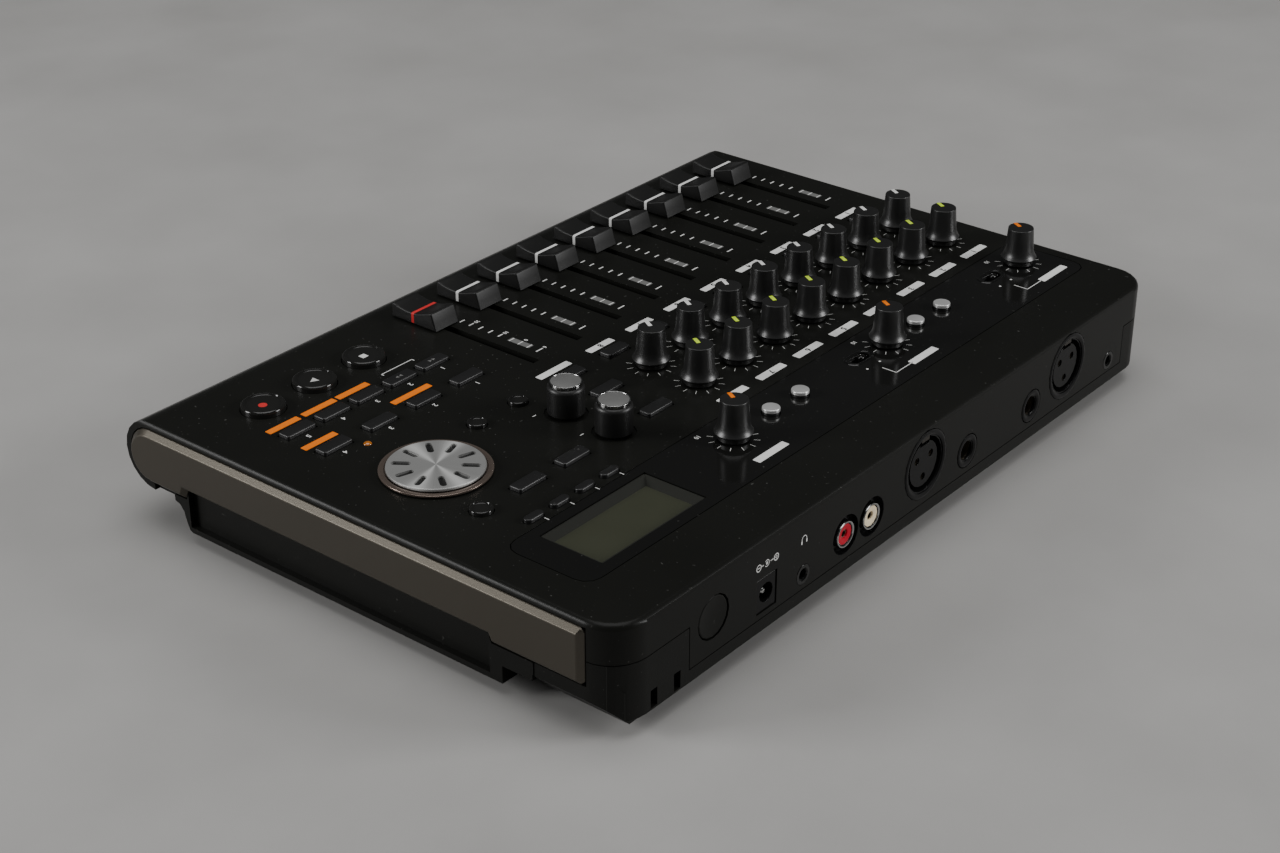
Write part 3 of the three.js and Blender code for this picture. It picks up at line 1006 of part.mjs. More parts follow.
// Connector board with the headphone and remote jacks
const miniJack = (x, z) => cut(
  join(block(x - MINI_BODY_WIDE / 2, x + MINI_BODY_WIDE / 2, REAR_INNER_Y - GAP - MINI_BODY_DEEP,
    REAR_INNER_Y - GAP, JACK_SEAT_Z, z + MINI_BODY_WIDE / 2),
  bore(MINI_JACK_R, x, z, REAR_INNER_Y - GAP - MINI_BODY_DEEP / 2, HALF_D - GAP, MINI_JACK_SIDES)),
  bore(MINI_BORE_R, x, z, REAR_INNER_Y - MINI_BODY_DEEP + WALL, HALF_D + OVERRUN));
const jackBoard = join(
  block(JACK_BOARD_LEFT_X, JACK_BOARD_RIGHT_X, JACK_BOARD_FRONT_Y, JACK_BOARD_REAR_Y,
    JACK_BOARD_Z, JACK_BOARD_TOP_Z),
  miniJack(PHONES_JACK_X, PHONES_Z), miniJack(REMOTE_X, REMOTE_Z),
  block(STANDBY_X - STANDBY_BODY / 2, STANDBY_X + STANDBY_BODY / 2,
    STANDBY_BACK_Y - STANDBY_BODY, STANDBY_BACK_Y - STANDBY_TRAVEL - GAP, JACK_SEAT_Z,
    STANDBY_Z + STANDBY_BODY / 2));
piece('connector_board', jackBoard, BOARD_FINISH);

// Three-pin microphone sockets
[['microphone_socket_a', XLR_A_X], ['microphone_socket_b', XLR_B_X]].forEach(([name, x]) => {
  const face = HALF_D - GAP;
  const foot = block(x - XLR_INSERT_R, x + XLR_INSERT_R, HALF_D - XLR_DEEP, REAR_INNER_Y - WALL,
    JACK_BOARD_TOP_Z + GAP, XLR_Z);
  const body = join(
    bore(XLR_BODY_R, x, XLR_Z, HALF_D - XLR_DEEP, REAR_INNER_Y + GAP, XLR_SIDES),
    bore(XLR_R, x, XLR_Z, REAR_INNER_Y, face, XLR_SIDES), foot);
  const groove = cut(
    bore(XLR_GROOVE_R, x, XLR_Z, face - XLR_GROOVE_DEEP, face + OVERRUN, XLR_SIDES),
    bore(XLR_INSERT_R, x, XLR_Z, face - XLR_DEEP, face - XLR_INSERT_DROP, XLR_SIDES));
  const pins = [0, 120, 240].map((deg) => {
    const angle = THREE.MathUtils.degToRad(deg - 90);
    return bore(XLR_PIN_R, x + XLR_PIN_CIRCLE_R * Math.cos(angle),
      XLR_Z + XLR_PIN_CIRCLE_R * Math.sin(angle), face - XLR_PIN_DEEP, face + OVERRUN);
  });
  const latch = block(x - LATCH_WIDE / 2, x + LATCH_WIDE / 2, face - LATCH_DEEP, face + OVERRUN,
    XLR_Z + XLR_INSERT_R - MARKER_WIDE, XLR_Z + XLR_R - MARKER_WIDE);
  piece(name, cut(body, groove, pins, latch), SOCKET_FINISH, [x, HALF_D, XLR_Z]);
});

// 6.3 mm line jacks
[['line_jack_a', JACK_A_X], ['line_jack_b', JACK_B_X]].forEach(([name, x]) => {
  const back = REAR_INNER_Y - GAP;
  const body = join(
    block(x - JACK_BODY_WIDE / 2, x + JACK_BODY_WIDE / 2, back - JACK_BODY_DEEP, back,
      JACK_BOARD_TOP_Z + GAP, JACK_Z + JACK_BODY_WIDE / 2),
    bore(JACK_NOSE_R, x, JACK_Z, back - WALL, HALF_D - GAP, JACK_SIDES));
  piece(name, cut(body, bore(JACK_BORE_R, x, JACK_Z, HALF_D - GAP - JACK_BORE_DEEP,
    HALF_D + OVERRUN, ROUND_KEY_SIDES)), SOCKET_FINISH, [x, HALF_D, JACK_Z]);
});

// Pair of phono sockets on one block
const phonoBack = REAR_INNER_Y - GAP;
const phonoBlock = block(Math.min(...PHONO_XS) - PHONO_HOLE_R, Math.max(...PHONO_XS) + PHONO_HOLE_R,
  phonoBack - PHONO_DEEP, phonoBack, JACK_BOARD_TOP_Z + GAP, PHONO_Z + PHONO_HOLE_R);
const phonoShells = PHONO_XS.flatMap((x) => [
  cut(bore(PHONO_SHELL_R, x, PHONO_Z, phonoBack - WALL, HALF_D - GAP, ROUND_KEY_SIDES),
    bore(PHONO_SHELL_R - PHONO_SHELL_WALL, x, PHONO_Z, phonoBack, HALF_D + OVERRUN,
      ROUND_KEY_SIDES)),
  cut(bore(PHONO_PIN_R, x, PHONO_Z, phonoBack - WALL, HALF_D - 2 * GAP, SHAFT_SIDES),
    bore(PHONO_BORE_R, x, PHONO_Z, phonoBack - WALL, HALF_D + OVERRUN, SHAFT_SIDES)),
]);
piece('phono_jack_pair', join(phonoBlock, phonoShells), SOCKET_FINISH,
  [PHONO_RIGHT_X, HALF_D, PHONO_Z]);

// Power inlet
const inletBody = join(
  block(INLET_X - INLET_WIDE / 2, INLET_X + INLET_WIDE / 2, REAR_INNER_Y - INLET_DEEP,
    HALF_D - GAP, INLET_Z - INLET_HIGH / 2, INLET_Z + INLET_HIGH / 2),
  block(INLET_X - INLET_WIDE / 2, INLET_X + INLET_WIDE / 2, REAR_INNER_Y - INLET_DEEP,
    REAR_INNER_Y - GAP, JACK_BOARD_TOP_Z + GAP, INLET_Z));
const inlet = join(
  cut(inletBody, bore(INLET_BORE_R, INLET_X, INLET_Z, REAR_INNER_Y - INLET_DEEP + WALL,
    HALF_D + OVERRUN, ROUND_KEY_SIDES)),
  bore(INLET_PIN_R, INLET_X, INLET_Z, REAR_INNER_Y - INLET_DEEP + WALL / 2, HALF_D - WALL));
piece('power_inlet', inlet, SOCKET_FINISH, [INLET_X, HALF_D, INLET_Z]);

// Standby button: a dished cap on a plunger through the rear wall
const standbyTurned = turned([
  [0, 0], [STANDBY_R + FLANGE, 0], [STANDBY_R + FLANGE, FLANGE_THICK],
  [STANDBY_R, FLANGE_THICK], [STANDBY_R, STANDBY_DEEP - KNOB_EDGE],
  [STANDBY_R - KNOB_EDGE, STANDBY_DEEP], [0, STANDBY_DEEP - STANDBY_DISH],
], 0, 0, JACK_SIDES);
const standby = standbyTurned.rotate([-90, 0, 0]).translate([STANDBY_X, STANDBY_BACK_Y, STANDBY_Z]);
piece('standby_button', standby, KEY_FINISH, [STANDBY_X, HALF_D, STANDBY_Z]);

export default group;
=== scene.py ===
# %% [markdown]
# A digital multitrack recorder on a plain table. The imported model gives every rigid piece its
# place and its motion, and this lesson dresses it: finishes, print, knobs, display and sockets.
# X runs to the user's right, Y to the connectors at the back and Z up. Shapes are worked out in
# millimetres, and the helper that makes a mesh of them turns them into metres.

# %% Load the frame
import json
import math

import bmesh
import bpy
import numpy as np
from mathutils import Matrix, Vector


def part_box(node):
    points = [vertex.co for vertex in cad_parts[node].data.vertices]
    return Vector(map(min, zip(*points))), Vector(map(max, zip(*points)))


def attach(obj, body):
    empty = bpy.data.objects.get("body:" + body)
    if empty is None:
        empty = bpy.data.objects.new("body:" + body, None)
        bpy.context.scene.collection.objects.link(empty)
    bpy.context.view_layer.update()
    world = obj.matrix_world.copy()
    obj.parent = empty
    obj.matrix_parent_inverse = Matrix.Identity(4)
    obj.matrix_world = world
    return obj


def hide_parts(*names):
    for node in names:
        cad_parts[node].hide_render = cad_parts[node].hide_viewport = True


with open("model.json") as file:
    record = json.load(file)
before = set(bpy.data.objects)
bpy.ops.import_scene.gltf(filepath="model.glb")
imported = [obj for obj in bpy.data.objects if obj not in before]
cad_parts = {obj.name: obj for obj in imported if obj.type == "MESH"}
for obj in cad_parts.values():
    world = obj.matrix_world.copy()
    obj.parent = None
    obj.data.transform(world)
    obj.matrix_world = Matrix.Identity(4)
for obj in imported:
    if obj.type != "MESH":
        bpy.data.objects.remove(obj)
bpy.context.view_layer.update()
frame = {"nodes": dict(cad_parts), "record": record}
MM = 0.001
print("nodes in the frame:", len(frame["nodes"]))

# %% [markdown]
# The camera stands behind the recorder's right corner, as the photographer did. Its place and
# its lens were worked out from the straight edges and the sockets that the photograph shows.

# %% Camera
CAMERA_PLACE = Vector((0.52184, 0.41299, 0.36399))
CAMERA_RIGHT = Vector((-0.63092, 0.77585, 0.0))
CAMERA_UP = Vector((-0.36816, -0.29961, 0.88017))
CAMERA_LENS = 64.42
SENSOR_WIDTH = 36.0

camera_data = bpy.data.cameras.new("camera")
camera_data.lens = CAMERA_LENS
camera_data.sensor_width = SENSOR_WIDTH
camera = bpy.data.objects.new("camera", camera_data)
bpy.context.scene.collection.objects.link(camera)
back = CAMERA_RIGHT.cross(CAMERA_UP)
turn = Matrix((CAMERA_RIGHT, CAMERA_UP, back)).transposed().to_4x4()
camera.matrix_world = Matrix.Translation(CAMERA_PLACE) @ turn
bpy.context.scene.camera = camera
print("camera distance:", round(CAMERA_PLACE.length, 3))

# %% [markdown]
# A dark object reads through its reflections. Two soft panels stand low on either side of the
# camera, for the pairs of glints on the knobs and the pale line along the trim's chamfer. A broad
# one hangs above. The flat panel mirrors nothing bright towards the camera, so it looks black.

# %% Lights
WORLD_LIGHT = 0.045
WORLD_TINT = (0.9, 0.92, 0.95, 1)
LIGHT_PANELS = (  # name, place and target in metres, size in metres, power in watts
    ("overhead_panel", (0.1, 0.1, 2.0), (0, 0, 0), 1.8, 28),
    ("front_right_panel", (1.06, -0.83, 0.56), (0.02, 0, 0.03), 0.5, 13),
    ("back_left_panel", (-0.71, 1.14, 0.56), (0.02, 0, 0.03), 0.5, 13),
)

for name, place, target, size, power in LIGHT_PANELS:
    light_data = bpy.data.lights.new(name, "AREA")
    light_data.shape = "SQUARE"
    light_data.size = size
    light_data.energy = power
    light = bpy.data.objects.new(name, light_data)
    light.location = place
    light.rotation_euler = (Vector(target) - Vector(place)).to_track_quat("-Z", "Y").to_euler()
    bpy.context.scene.collection.objects.link(light)
world = bpy.data.worlds.new("studio")
world.use_nodes = True
world.node_tree.nodes["Background"].inputs["Color"].default_value = WORLD_TINT
world.node_tree.nodes["Background"].inputs["Strength"].default_value = WORLD_LIGHT
bpy.context.scene.world = world
print("light panels:", len(LIGHT_PANELS))

# %% [markdown]
# The table is one large matt square, plain and pale. It is a stage, not a piece of the object.

# %% Floor
FLOOR_HALF = 4.0
floor_mesh = bpy.data.meshes.new("floor")
floor_mesh.from_pydata([(x * FLOOR_HALF, y * FLOOR_HALF, 0)
                        for x, y in ((-1, -1), (1, -1), (1, 1), (-1, 1))], [], [(0, 1, 2, 3)])
floor = bpy.data.objects.new("floor", floor_mesh)
bpy.context.scene.collection.objects.link(floor)
print("floor half width in metres:", FLOOR_HALF)

# %% [markdown]
# Shader maths reads best as ordinary expressions. A small class wraps a socket, so that
# `a * 2 + b` adds the Math nodes by itself, and one method makes any other node.


# %% Shader helpers
def plug(tree, target, value):
    """Link a Sock to an input, or put a constant on it."""
    if isinstance(value, Sock):
        tree.links.new(value.socket, target)
    elif isinstance(value, tuple) and target.type == "RGBA":
        target.default_value = (*value, 1)
    else:
        target.default_value = value


class Sock:
    """A node socket that takes part in sums and products."""

    def __init__(self, tree, socket):
        self.tree = tree
        self.socket = socket

    def math(self, operation, *others):
        """One Math node with this socket first."""
        node = self.tree.nodes.new("ShaderNodeMath")
        node.operation = operation
        for slot, value in enumerate((self, *others)):
            plug(self.tree, node.inputs[slot], value)
        return Sock(self.tree, node.outputs[0])

    def __add__(self, other):
        return self.math("ADD", other)

    __radd__ = __add__

    def __mul__(self, other):
        return self.math("MULTIPLY", other)

    __rmul__ = __mul__

    def __sub__(self, other):
        return self.math("SUBTRACT", other)

    def __rsub__(self, other):
        return (self * -1) + other


class Finish:
    """A material with one Principled shader and a method that adds any node."""

    def __init__(self, name, **constants):
        self.material = bpy.data.materials.new(name)
        self.material.use_nodes = True
        self.tree = self.material.node_tree
        self.shader = self.tree.nodes["Principled BSDF"]
        for socket, value in constants.items():
            self.set(socket.replace("_", " "), value)

    def set(self, socket, value):
        """A constant or a Sock for one of the shader's own sockets."""
        plug(self.tree, self.shader.inputs[socket], value)

    def node(self, kind, settings=None, output=0, **sockets):
        """Any node: its settings first, then its sockets by name, or by number as i0, i6, i7."""
        node = self.tree.nodes.new(kind)
        for key, value in (settings or {}).items():
            setattr(node, key, value)
        for key, value in sockets.items():
            numbered = key[0] == "i" and key[1:].isdigit()
            plug(self.tree, node.inputs[int(key[1:]) if numbered else key], value)
        return Sock(self.tree, node.outputs[output])

    def place(self):
        """Object coordinates, in metres."""
        return self.node("ShaderNodeTexCoord", output=3)

    def axes(self, vector):
        """X, Y and Z of a vector, from one node."""
        first = self.node("ShaderNodeSeparateXYZ", Vector=vector)
        return [Sock(self.tree, socket) for socket in first.socket.node.outputs]

    def noise(self, scale, detail, vector=None):
        """Fractal noise from 0 to 1 with scale lumps to the metre."""
        return self.node("ShaderNodeTexNoise", Vector=vector or self.place(), Scale=scale,
                         Detail=detail)

    def blend(self, amount, first, second):
        """A colour between two colours."""
        return self.node("ShaderNodeMix", {"data_type": "RGBA"}, output=2,
                         i0=amount, i6=first, i7=second)

    def done(self, colour, roughness, height=None, strength=0.0, distance=0.0001):
        """The material with its colour, its sheen and, from a height, the relief of its grain."""
        self.set("Base Color", colour)
        self.set("Roughness", roughness)
        if height:
            self.set("Normal", self.node("ShaderNodeBump", Height=height, Strength=strength,
                                         Distance=distance))
        return self.material


def shade(colour, share):
    """A colour made darker, to a share of itself."""
    return tuple(c * share for c in colour)


print("shader helpers ready")

# %% [markdown]
# Moulded plastic is never quite even: a spark-eroded tool leaves a fine grain that scatters
# the light, hands leave it slightly smoother in places, and dust settles as faint pale specks.

# %% Plastics
DUST_COLOUR = (0.2, 0.2, 0.19)


def moulded_plastic(name, colour, roughness, grain, dust=0.25, ior=1.46):
    """Black plastic: fine grain as bump, slow change in sheen, and sparse specks of dust."""
    finish = Finish(name, IOR=ior)
    slow = finish.noise(14, 4)
    fine = finish.noise(2600, 2)
    specks = finish.noise(900, 1).math("SUBTRACT", 0.74).math("MULTIPLY", 14)
    specks = specks.math("MAXIMUM", 0).math("MINIMUM", 1)
    lighter = tuple(min(c * 1.5, c + 0.1) + 0.002 for c in colour)
    base = finish.blend(specks * dust, finish.blend(slow, colour, lighter), DUST_COLOUR)
    sheen = slow * (roughness * 0.3) + fine * (roughness * 0.2) + roughness * 0.75
    return finish.done(base, sheen, fine, grain, 0.0002)


casing_plastic = moulded_plastic("casing_plastic", (0.0062, 0.0063, 0.0054), 0.32, 0.08, ior=1.22)
deck_plastic = moulded_plastic("deck_plastic", (0.0055, 0.0056, 0.0048), 0.42, 0.2, ior=1.24)
key_plastic = moulded_plastic("key_plastic", (0.0075, 0.0075, 0.0074), 0.36, 0.1, 0.1)
fader_plastic = moulded_plastic("fader_plastic", (0.007, 0.007, 0.0067), 0.42, 0.06, 0.1, 1.34)
knob_plastic = moulded_plastic("knob_plastic", (0.0065, 0.0065, 0.0062), 0.36, 0.02, 0.05, 1.6)
strip_plastic = moulded_plastic("strip_plastic", (0.0048, 0.0048, 0.0044), 0.10, 0.004, 0.2)
drum_plastic = moulded_plastic("drum_plastic", (0.0075, 0.0075, 0.0072), 0.42, 0.1, 0.1)
socket_plastic = moulded_plastic("socket_plastic", (0.0042, 0.0042, 0.0042), 0.2, 0.03, 0.05, 1.24)
smoked_plastic = moulded_plastic("smoked_plastic", (0.004, 0.004, 0.0038), 0.11, 0.006, 0.05)
button_gloss = moulded_plastic("button_gloss", (0.0085, 0.0085, 0.0078), 0.09, 0.004, 0.05)
frame_plastic = moulded_plastic("display_frame_plastic", (0.016, 0.0165, 0.014), 0.75, 0.03, 0.05,
                                1.2)
red_plastic = moulded_plastic("red_socket_plastic", (0.44, 0.004, 0.018), 0.3, 0.02, 0.0, 1.25)
white_plastic = moulded_plastic("white_socket_plastic", (0.86, 0.72, 0.48), 0.3, 0.02, 0.0, 1.25)
rubber = moulded_plastic("foot_rubber", (0.012, 0.012, 0.012), 0.8, 0.5)
table_top = moulded_plastic("table_top", (0.28, 0.274, 0.265), 0.8, 0.2, 0.0)
floor.data.materials.append(table_top)
print("plastics:", 15)

# %% [markdown]
# The side trims are painted with fine metal flakes in a warm grey. The wheel is spun metal with
# fine marks running round, and four pale fans of painted highlight stand on it like a cross.


# %% Metals and paints
def flake_paint(name, colour):
    """Metallic paint: small flakes change colour and sheen from point to point."""
    finish = Finish(name, Metallic=0.75, Coat_Weight=0.15, Coat_Roughness=0.25)
    flakes = finish.noise(7000, 1)
    slow = finish.noise(22, 3)
    base = finish.blend(flakes * 0.4 + slow * 0.3 + 0.15, shade(colour, 0.72), colour)
    return finish.done(base, flakes * 0.04 + slow * 0.08 + 0.32, flakes, 0.012)


def plated_metal(name, colour, roughness, metallic=1.0):
    """Plating or satin metal with faint stains and fine polishing marks."""
    finish = Finish(name, Metallic=metallic)
    stains = finish.noise(180, 4)
    marks = finish.noise(3800, 2)
    base = finish.blend(stains, shade(colour, 0.8), colour)
    return finish.done(base, stains * 0.1 + marks * 0.06 + (roughness - 0.07), marks, 0.03)


def spun_metal(name, centre, colour, glint_angles):
    """Spun metal: fine noise along the angle, and a painted highlight fan on both sides of each
    angle.
    """
    finish = Finish(name, Metallic=0.35)
    shift = finish.node("ShaderNodeMapping", Vector=finish.place(),
                        Location=(-centre[0] * MM, -centre[1] * MM, 0))
    x, y, _ = finish.axes(shift)
    angle = y.math("ARCTAN2", x)
    around = finish.node("ShaderNodeCombineXYZ", X=angle.math("COSINE"), Y=angle.math("SINE"))
    fine = finish.noise(60, 2, around)
    brush_and_glint = fine * 0.12
    # Painted highlight: a pale fan in the colour on both sides of each angle, standing for the
    # lights caught by the round brushing.
    for glint_angle in glint_angles:
        off = (angle - math.radians(glint_angle)).math("COSINE").math("ABSOLUTE")
        brush_and_glint = brush_and_glint + off.math("POWER", 48.0) * 0.9
    glint_colour = tuple(min(c * 2.5, 0.9) for c in colour)
    base = finish.blend(brush_and_glint.math("MINIMUM", 1.0), colour, glint_colour)
    return finish.done(base, fine * 0.15 + 0.34, fine, 0.05)


WHEEL_CENTRE = (109.794, 1.605)
trim_paint = flake_paint("trim_paint", (0.085, 0.075, 0.059))
bright_plating = plated_metal("bright_plating", (0.6, 0.6, 0.59), 0.17)
satin_metal = plated_metal("satin_metal", (0.20, 0.20, 0.195), 0.45, 0.4)
ring_metal = plated_metal("ring_metal", (0.24, 0.19, 0.16), 0.2, 0.7)
dark_plating = plated_metal("dark_plating", (0.075, 0.068, 0.06), 0.3)
contact_metal = plated_metal("contact_metal", (0.34, 0.29, 0.22), 0.3)
button_metal = plated_metal("button_metal", (0.66, 0.66, 0.65), 0.36, 0.6)
# The last two numbers are the angles of the painted highlight fans, in degrees.
wheel_metal = spun_metal("wheel_metal", WHEEL_CENTRE, (0.23, 0.23, 0.225), (20.0, 75.5))
print("metals and paints:", 8)

# %% [markdown]
# Print is ink a few hundredths of a millimetre thick: slightly uneven in cover, never glossy.
# A circuit board is green lacquer up to its own top face. All that stands higher, the fader
# tracks, potentiometers, switches and jacks soldered to it, is black.

# %% Inks and circuit boards
INK_BLACK = (0.006, 0.006, 0.006)
BOARD_GREEN = (0.012, 0.07, 0.03)
BOARD_SHADE = (0.007, 0.042, 0.018)
BOARD_TOPS = {"panel_board": 28.25, "connector_board": 12.05}


def ink(name, colour, thin=None, plate_top=None):
    """Ink or lacquer with a slightly uneven cover; black where height > plate_top, if given."""
    finish = Finish(name, IOR=1.3)
    patch = finish.noise(1500, 3)
    base = finish.blend(patch, thin or shade(colour, 0.75), colour)
    if plate_top:
        higher = finish.axes(finish.place())[2].math("GREATER_THAN", plate_top * MM)
        base = finish.blend(higher, base, INK_BLACK)
    return finish.done(base, patch * 0.15 + 0.42, patch, 0.05)


white_ink = ink("white_ink", (0.80, 0.80, 0.78))
tick_ink = ink("tick_ink", (0.6, 0.6, 0.58))
grey_ink = ink("grey_ink", (0.16, 0.16, 0.155))
orange_ink = ink("orange_ink", (0.92, 0.205, 0.004))
lime_ink = ink("lime_ink", (0.62, 0.86, 0.05))
red_ink = ink("red_ink", (0.62, 0.035, 0.035))
black_ink = ink("black_ink", INK_BLACK)
for name, plate_top in BOARD_TOPS.items():
    board_materials = frame["nodes"][name].data.materials
    board_materials.clear()
    board_materials.append(ink(name + "_finish", BOARD_GREEN, BOARD_SHADE, plate_top))
print("inks:", 7, "boards:", len(BOARD_TOPS))

# %% [markdown]
# The display is off: a pale green-grey panel of tiny cells behind a smooth window. The lamp
# beside the wheel is clear amber plastic over a small reflector.

# %% Display and lamp finishes
CELL_PITCH = 0.35
CELL_COLOUR = (0.042, 0.045, 0.027)


def display_cells(name, colour):
    """Square cells of a dot display: two waves at right angles darken the lines between them."""
    finish = Finish(name, Coat_Weight=1.0, Coat_Roughness=0.04)
    waves = 2 * math.pi / (CELL_PITCH * MM)
    x, y, _ = finish.axes(finish.place())
    lines_x = (x * waves).math("COSINE").math("ABSOLUTE")
    lines_y = (y * waves).math("COSINE").math("ABSOLUTE")
    patch = finish.noise(60, 3)
    mask = lines_x * lines_y * 0.35 + patch * 0.65
    return finish.done(finish.blend(mask, shade(colour, 0.75), colour), patch * 0.1 + 0.3)


def clear_lens(name, colour):
    """Tinted clear plastic, paler where the reflector below shows through."""
    finish = Finish(name, Coat_Weight=1.0, Coat_Roughness=0.03)
    patch = finish.noise(700, 2)
    base = finish.blend(patch, shade(colour, 0.35), colour)
    return finish.done(base, patch * 0.12 + 0.12, patch, 0.2, 0.0003)


display_glass = display_cells("display_cells", CELL_COLOUR)
lens_plastic = clear_lens("amber_lens", (0.55, 0.17, 0.015))
print("cell pitch in mm:", CELL_PITCH)

# %% [markdown]
# Surfaces come from arrays. Two helpers make most of the pieces: a profile turned about an
# upright axis, and a plan outline that is carried up a profile of insets and heights.


# %% Surface helpers
def shown(mesh, material, body, sharp, replaces):
    """A piece for a mesh in metres: smooth but for edges over the angle sharp, on its body."""
    mesh.shade_smooth()
    mesh.set_sharp_from_angle(angle=math.radians(sharp))
    mesh.materials.clear()
    mesh.materials.append(material)
    piece = bpy.data.objects.new(mesh.name, mesh)
    bpy.context.scene.collection.objects.link(piece)
    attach(piece, body)
    if replaces:
        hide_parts(replaces)
    return piece


def new_piece(name, vertices, faces, material, body, slot=None, sharp=38.0, replaces=None):
    """A piece from arrays in millimetres, with its doubles merged and its faces outwards."""
    mesh = bpy.data.meshes.new(name)
    mesh.from_pydata((np.asarray(vertices, float) * MM).tolist(), [], faces)
    work = bmesh.new()
    work.from_mesh(mesh)
    bmesh.ops.remove_doubles(work, verts=work.verts, dist=1e-6)
    bmesh.ops.dissolve_degenerate(work, edges=work.edges, dist=1e-7)
    bmesh.ops.recalc_face_normals(work, faces=work.faces)
    work.to_mesh(mesh)
    work.free()
    return shown(mesh, material, body, sharp, replaces)


def circle(angles):
    """Points of the unit circle: (cosine, sine) of each angle."""
    return np.stack([np.cos(angles), np.sin(angles)], -1)


def quarter(count):
    """A quarter circle of radius 1, from (1, 0) to (0, 1)."""
    return circle(np.linspace(0, np.pi / 2, count))


def spin(angle):
    """The matrix that turns rows of plan points by an angle in radians."""
    return np.array([[math.cos(angle), math.sin(angle)], [-math.sin(angle), math.cos(angle)]])


def grid_faces(rows, columns):
    """Quads between neighbouring rows of a grid whose columns close on themselves."""
    row, column = np.meshgrid(np.arange(rows - 1), np.arange(columns), indexing="ij")
    after = (column + 1) % columns
    corners = [row * columns + column, row * columns + after,
               (row + 1) * columns + after, (row + 1) * columns + column]
    return np.stack(corners, -1).reshape(-1, 4).tolist()


def turned(profile, centre, sides=48):
    """Each (radius, height) of the profile becomes a ring about the upright axis at centre."""
    rings = np.asarray(profile, float)
    around = circle(np.linspace(0, 2 * np.pi, sides, endpoint=False))
    plane = rings[:, :1, None] * around + np.asarray(centre)
    height = np.broadcast_to(rings[:, 1:, None], (*plane.shape[:2], 1))
    return np.concatenate([plane, height], -1).reshape(-1, 3), grid_faces(len(rings), sides)


def soft_corners(points, radius, steps=4):
    """A profile of (radius, height) points whose inner corners become short arcs."""
    points = np.asarray(points, float)
    result = [points[0]]
    for before, here, after in zip(points[:-2], points[1:-1], points[2:]):
        back_leg = before - here
        next_leg = after - here
        back_long = np.linalg.norm(back_leg)
        next_long = np.linalg.norm(next_leg)
        reach = min(radius, back_long * 0.45, next_long * 0.45)
        start = here + back_leg / back_long * reach
        end = here + next_leg / next_long * reach
        share = np.linspace(0, 1, steps + 1)[:, None]
        result.extend((1 - share) ** 2 * start + 2 * share * (1 - share) * here + share ** 2 * end)
    result.append(points[-1])
    return np.array(result)


def smooth_line(points, count):
    """A curve through points by local cubics, with equal steps of the point number."""
    points = np.asarray(points, float)
    padded = np.concatenate([2 * points[:1] - points[1:2], points, 2 * points[-1:] - points[-2:-1]])
    t = np.linspace(0, len(points) - 1 - 1e-9, count)
    i = t.astype(int)
    f = (t - i)[:, None]
    a, b, c, d = (padded[i + k] for k in range(4))
    return 0.5 * (2 * b + (c - a) * f + (2 * a - 5 * b + 4 * c - d) * f ** 2
                  + (3 * b - a - 3 * c + d) * f ** 3)


def rounded_plan(centre, size, radius, steps=6):
    """A rectangle with quarter-circle corners: its points and the outward direction at each."""
    half = np.array(size) / 2 - radius
    corners = np.array([(1, 1), (-1, 1), (-1, -1), (1, -1)], float)
    starts = np.array([0, 90, 180, 270], float)
    outward = circle(np.radians(starts[:, None] + np.linspace(0, 90, steps + 1)[None]))
    points = (corners * half)[:, None] + outward * radius + np.array(centre)
    return points.reshape(-1, 2), outward.reshape(-1, 2)


def plain(points):
    """A plan whose outward directions aren't needed, because its walls are upright."""
    return points, np.zeros_like(points)


def carried(plan, profile):
    """A ring for each (inset, height) of a profile: points - outward * inset, at that height."""
    points, outward = plan
    rings = np.asarray(profile, float)
    plane = points[None] - outward[None] * rings[:, :1, None]
    height = np.broadcast_to(rings[:, 1:, None], (*plane.shape[:2], 1))
    return np.concatenate([plane, height], -1).reshape(-1, 3), grid_faces(len(rings), len(points))


def raised(plan, profile):
    """A plan carried up a profile, closed by a flat face at each end."""
    vertices, faces = carried(plan, profile)
    last = len(vertices) - len(plan[0])
    return vertices, faces + [list(range(len(plan[0])))[::-1], list(range(last, len(vertices)))]


def slab(points, foot, top):
    """A plan of points with upright walls between two heights, closed at both ends."""
    return raised(plain(points), [(0, foot), (0, top)])


def tube(inner, outer, near, far):
    """The open profile of a straight tube between two radii and two distances."""
    return [(inner, near), (outer, near), (outer, far), (inner, far)]


def merged(*parts):
    """Several (vertices, faces) pairs as one."""
    vertices = []
    faces = []
    for more, polygons in parts:
        offset = sum(len(v) for v in vertices)
        vertices.append(np.asarray(more, float))
        faces.extend([[i + offset for i in polygon] for polygon in polygons])
    return np.concatenate(vertices), faces


def low(node):
    """Lowest corner of a CAD node."""
    return np.array(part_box(node)[0]) / MM


def high(node):
    """Highest corner of a CAD node."""
    return np.array(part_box(node)[1]) / MM


def middle(node):
    """Middle of a CAD node."""
    return (low(node) + high(node)) / 2


def centre_of(node):
    """Plan centre of a turning piece, from its joint."""
    for joint in frame["record"]["behaviour"]["joints"]:
        if joint["child"] == node:
            return np.array(joint["pos_m"][:2]) / MM
    raise KeyError(node)


print("surface helpers ready")

# %% [markdown]
# The large mouldings keep the CAD's own shape. A copy with its doubles merged can carry smooth
# shading and a small rounded edge, which is what catches the light on a real moulding.

# %% Mouldings
MOULD_SHARP = 32.0


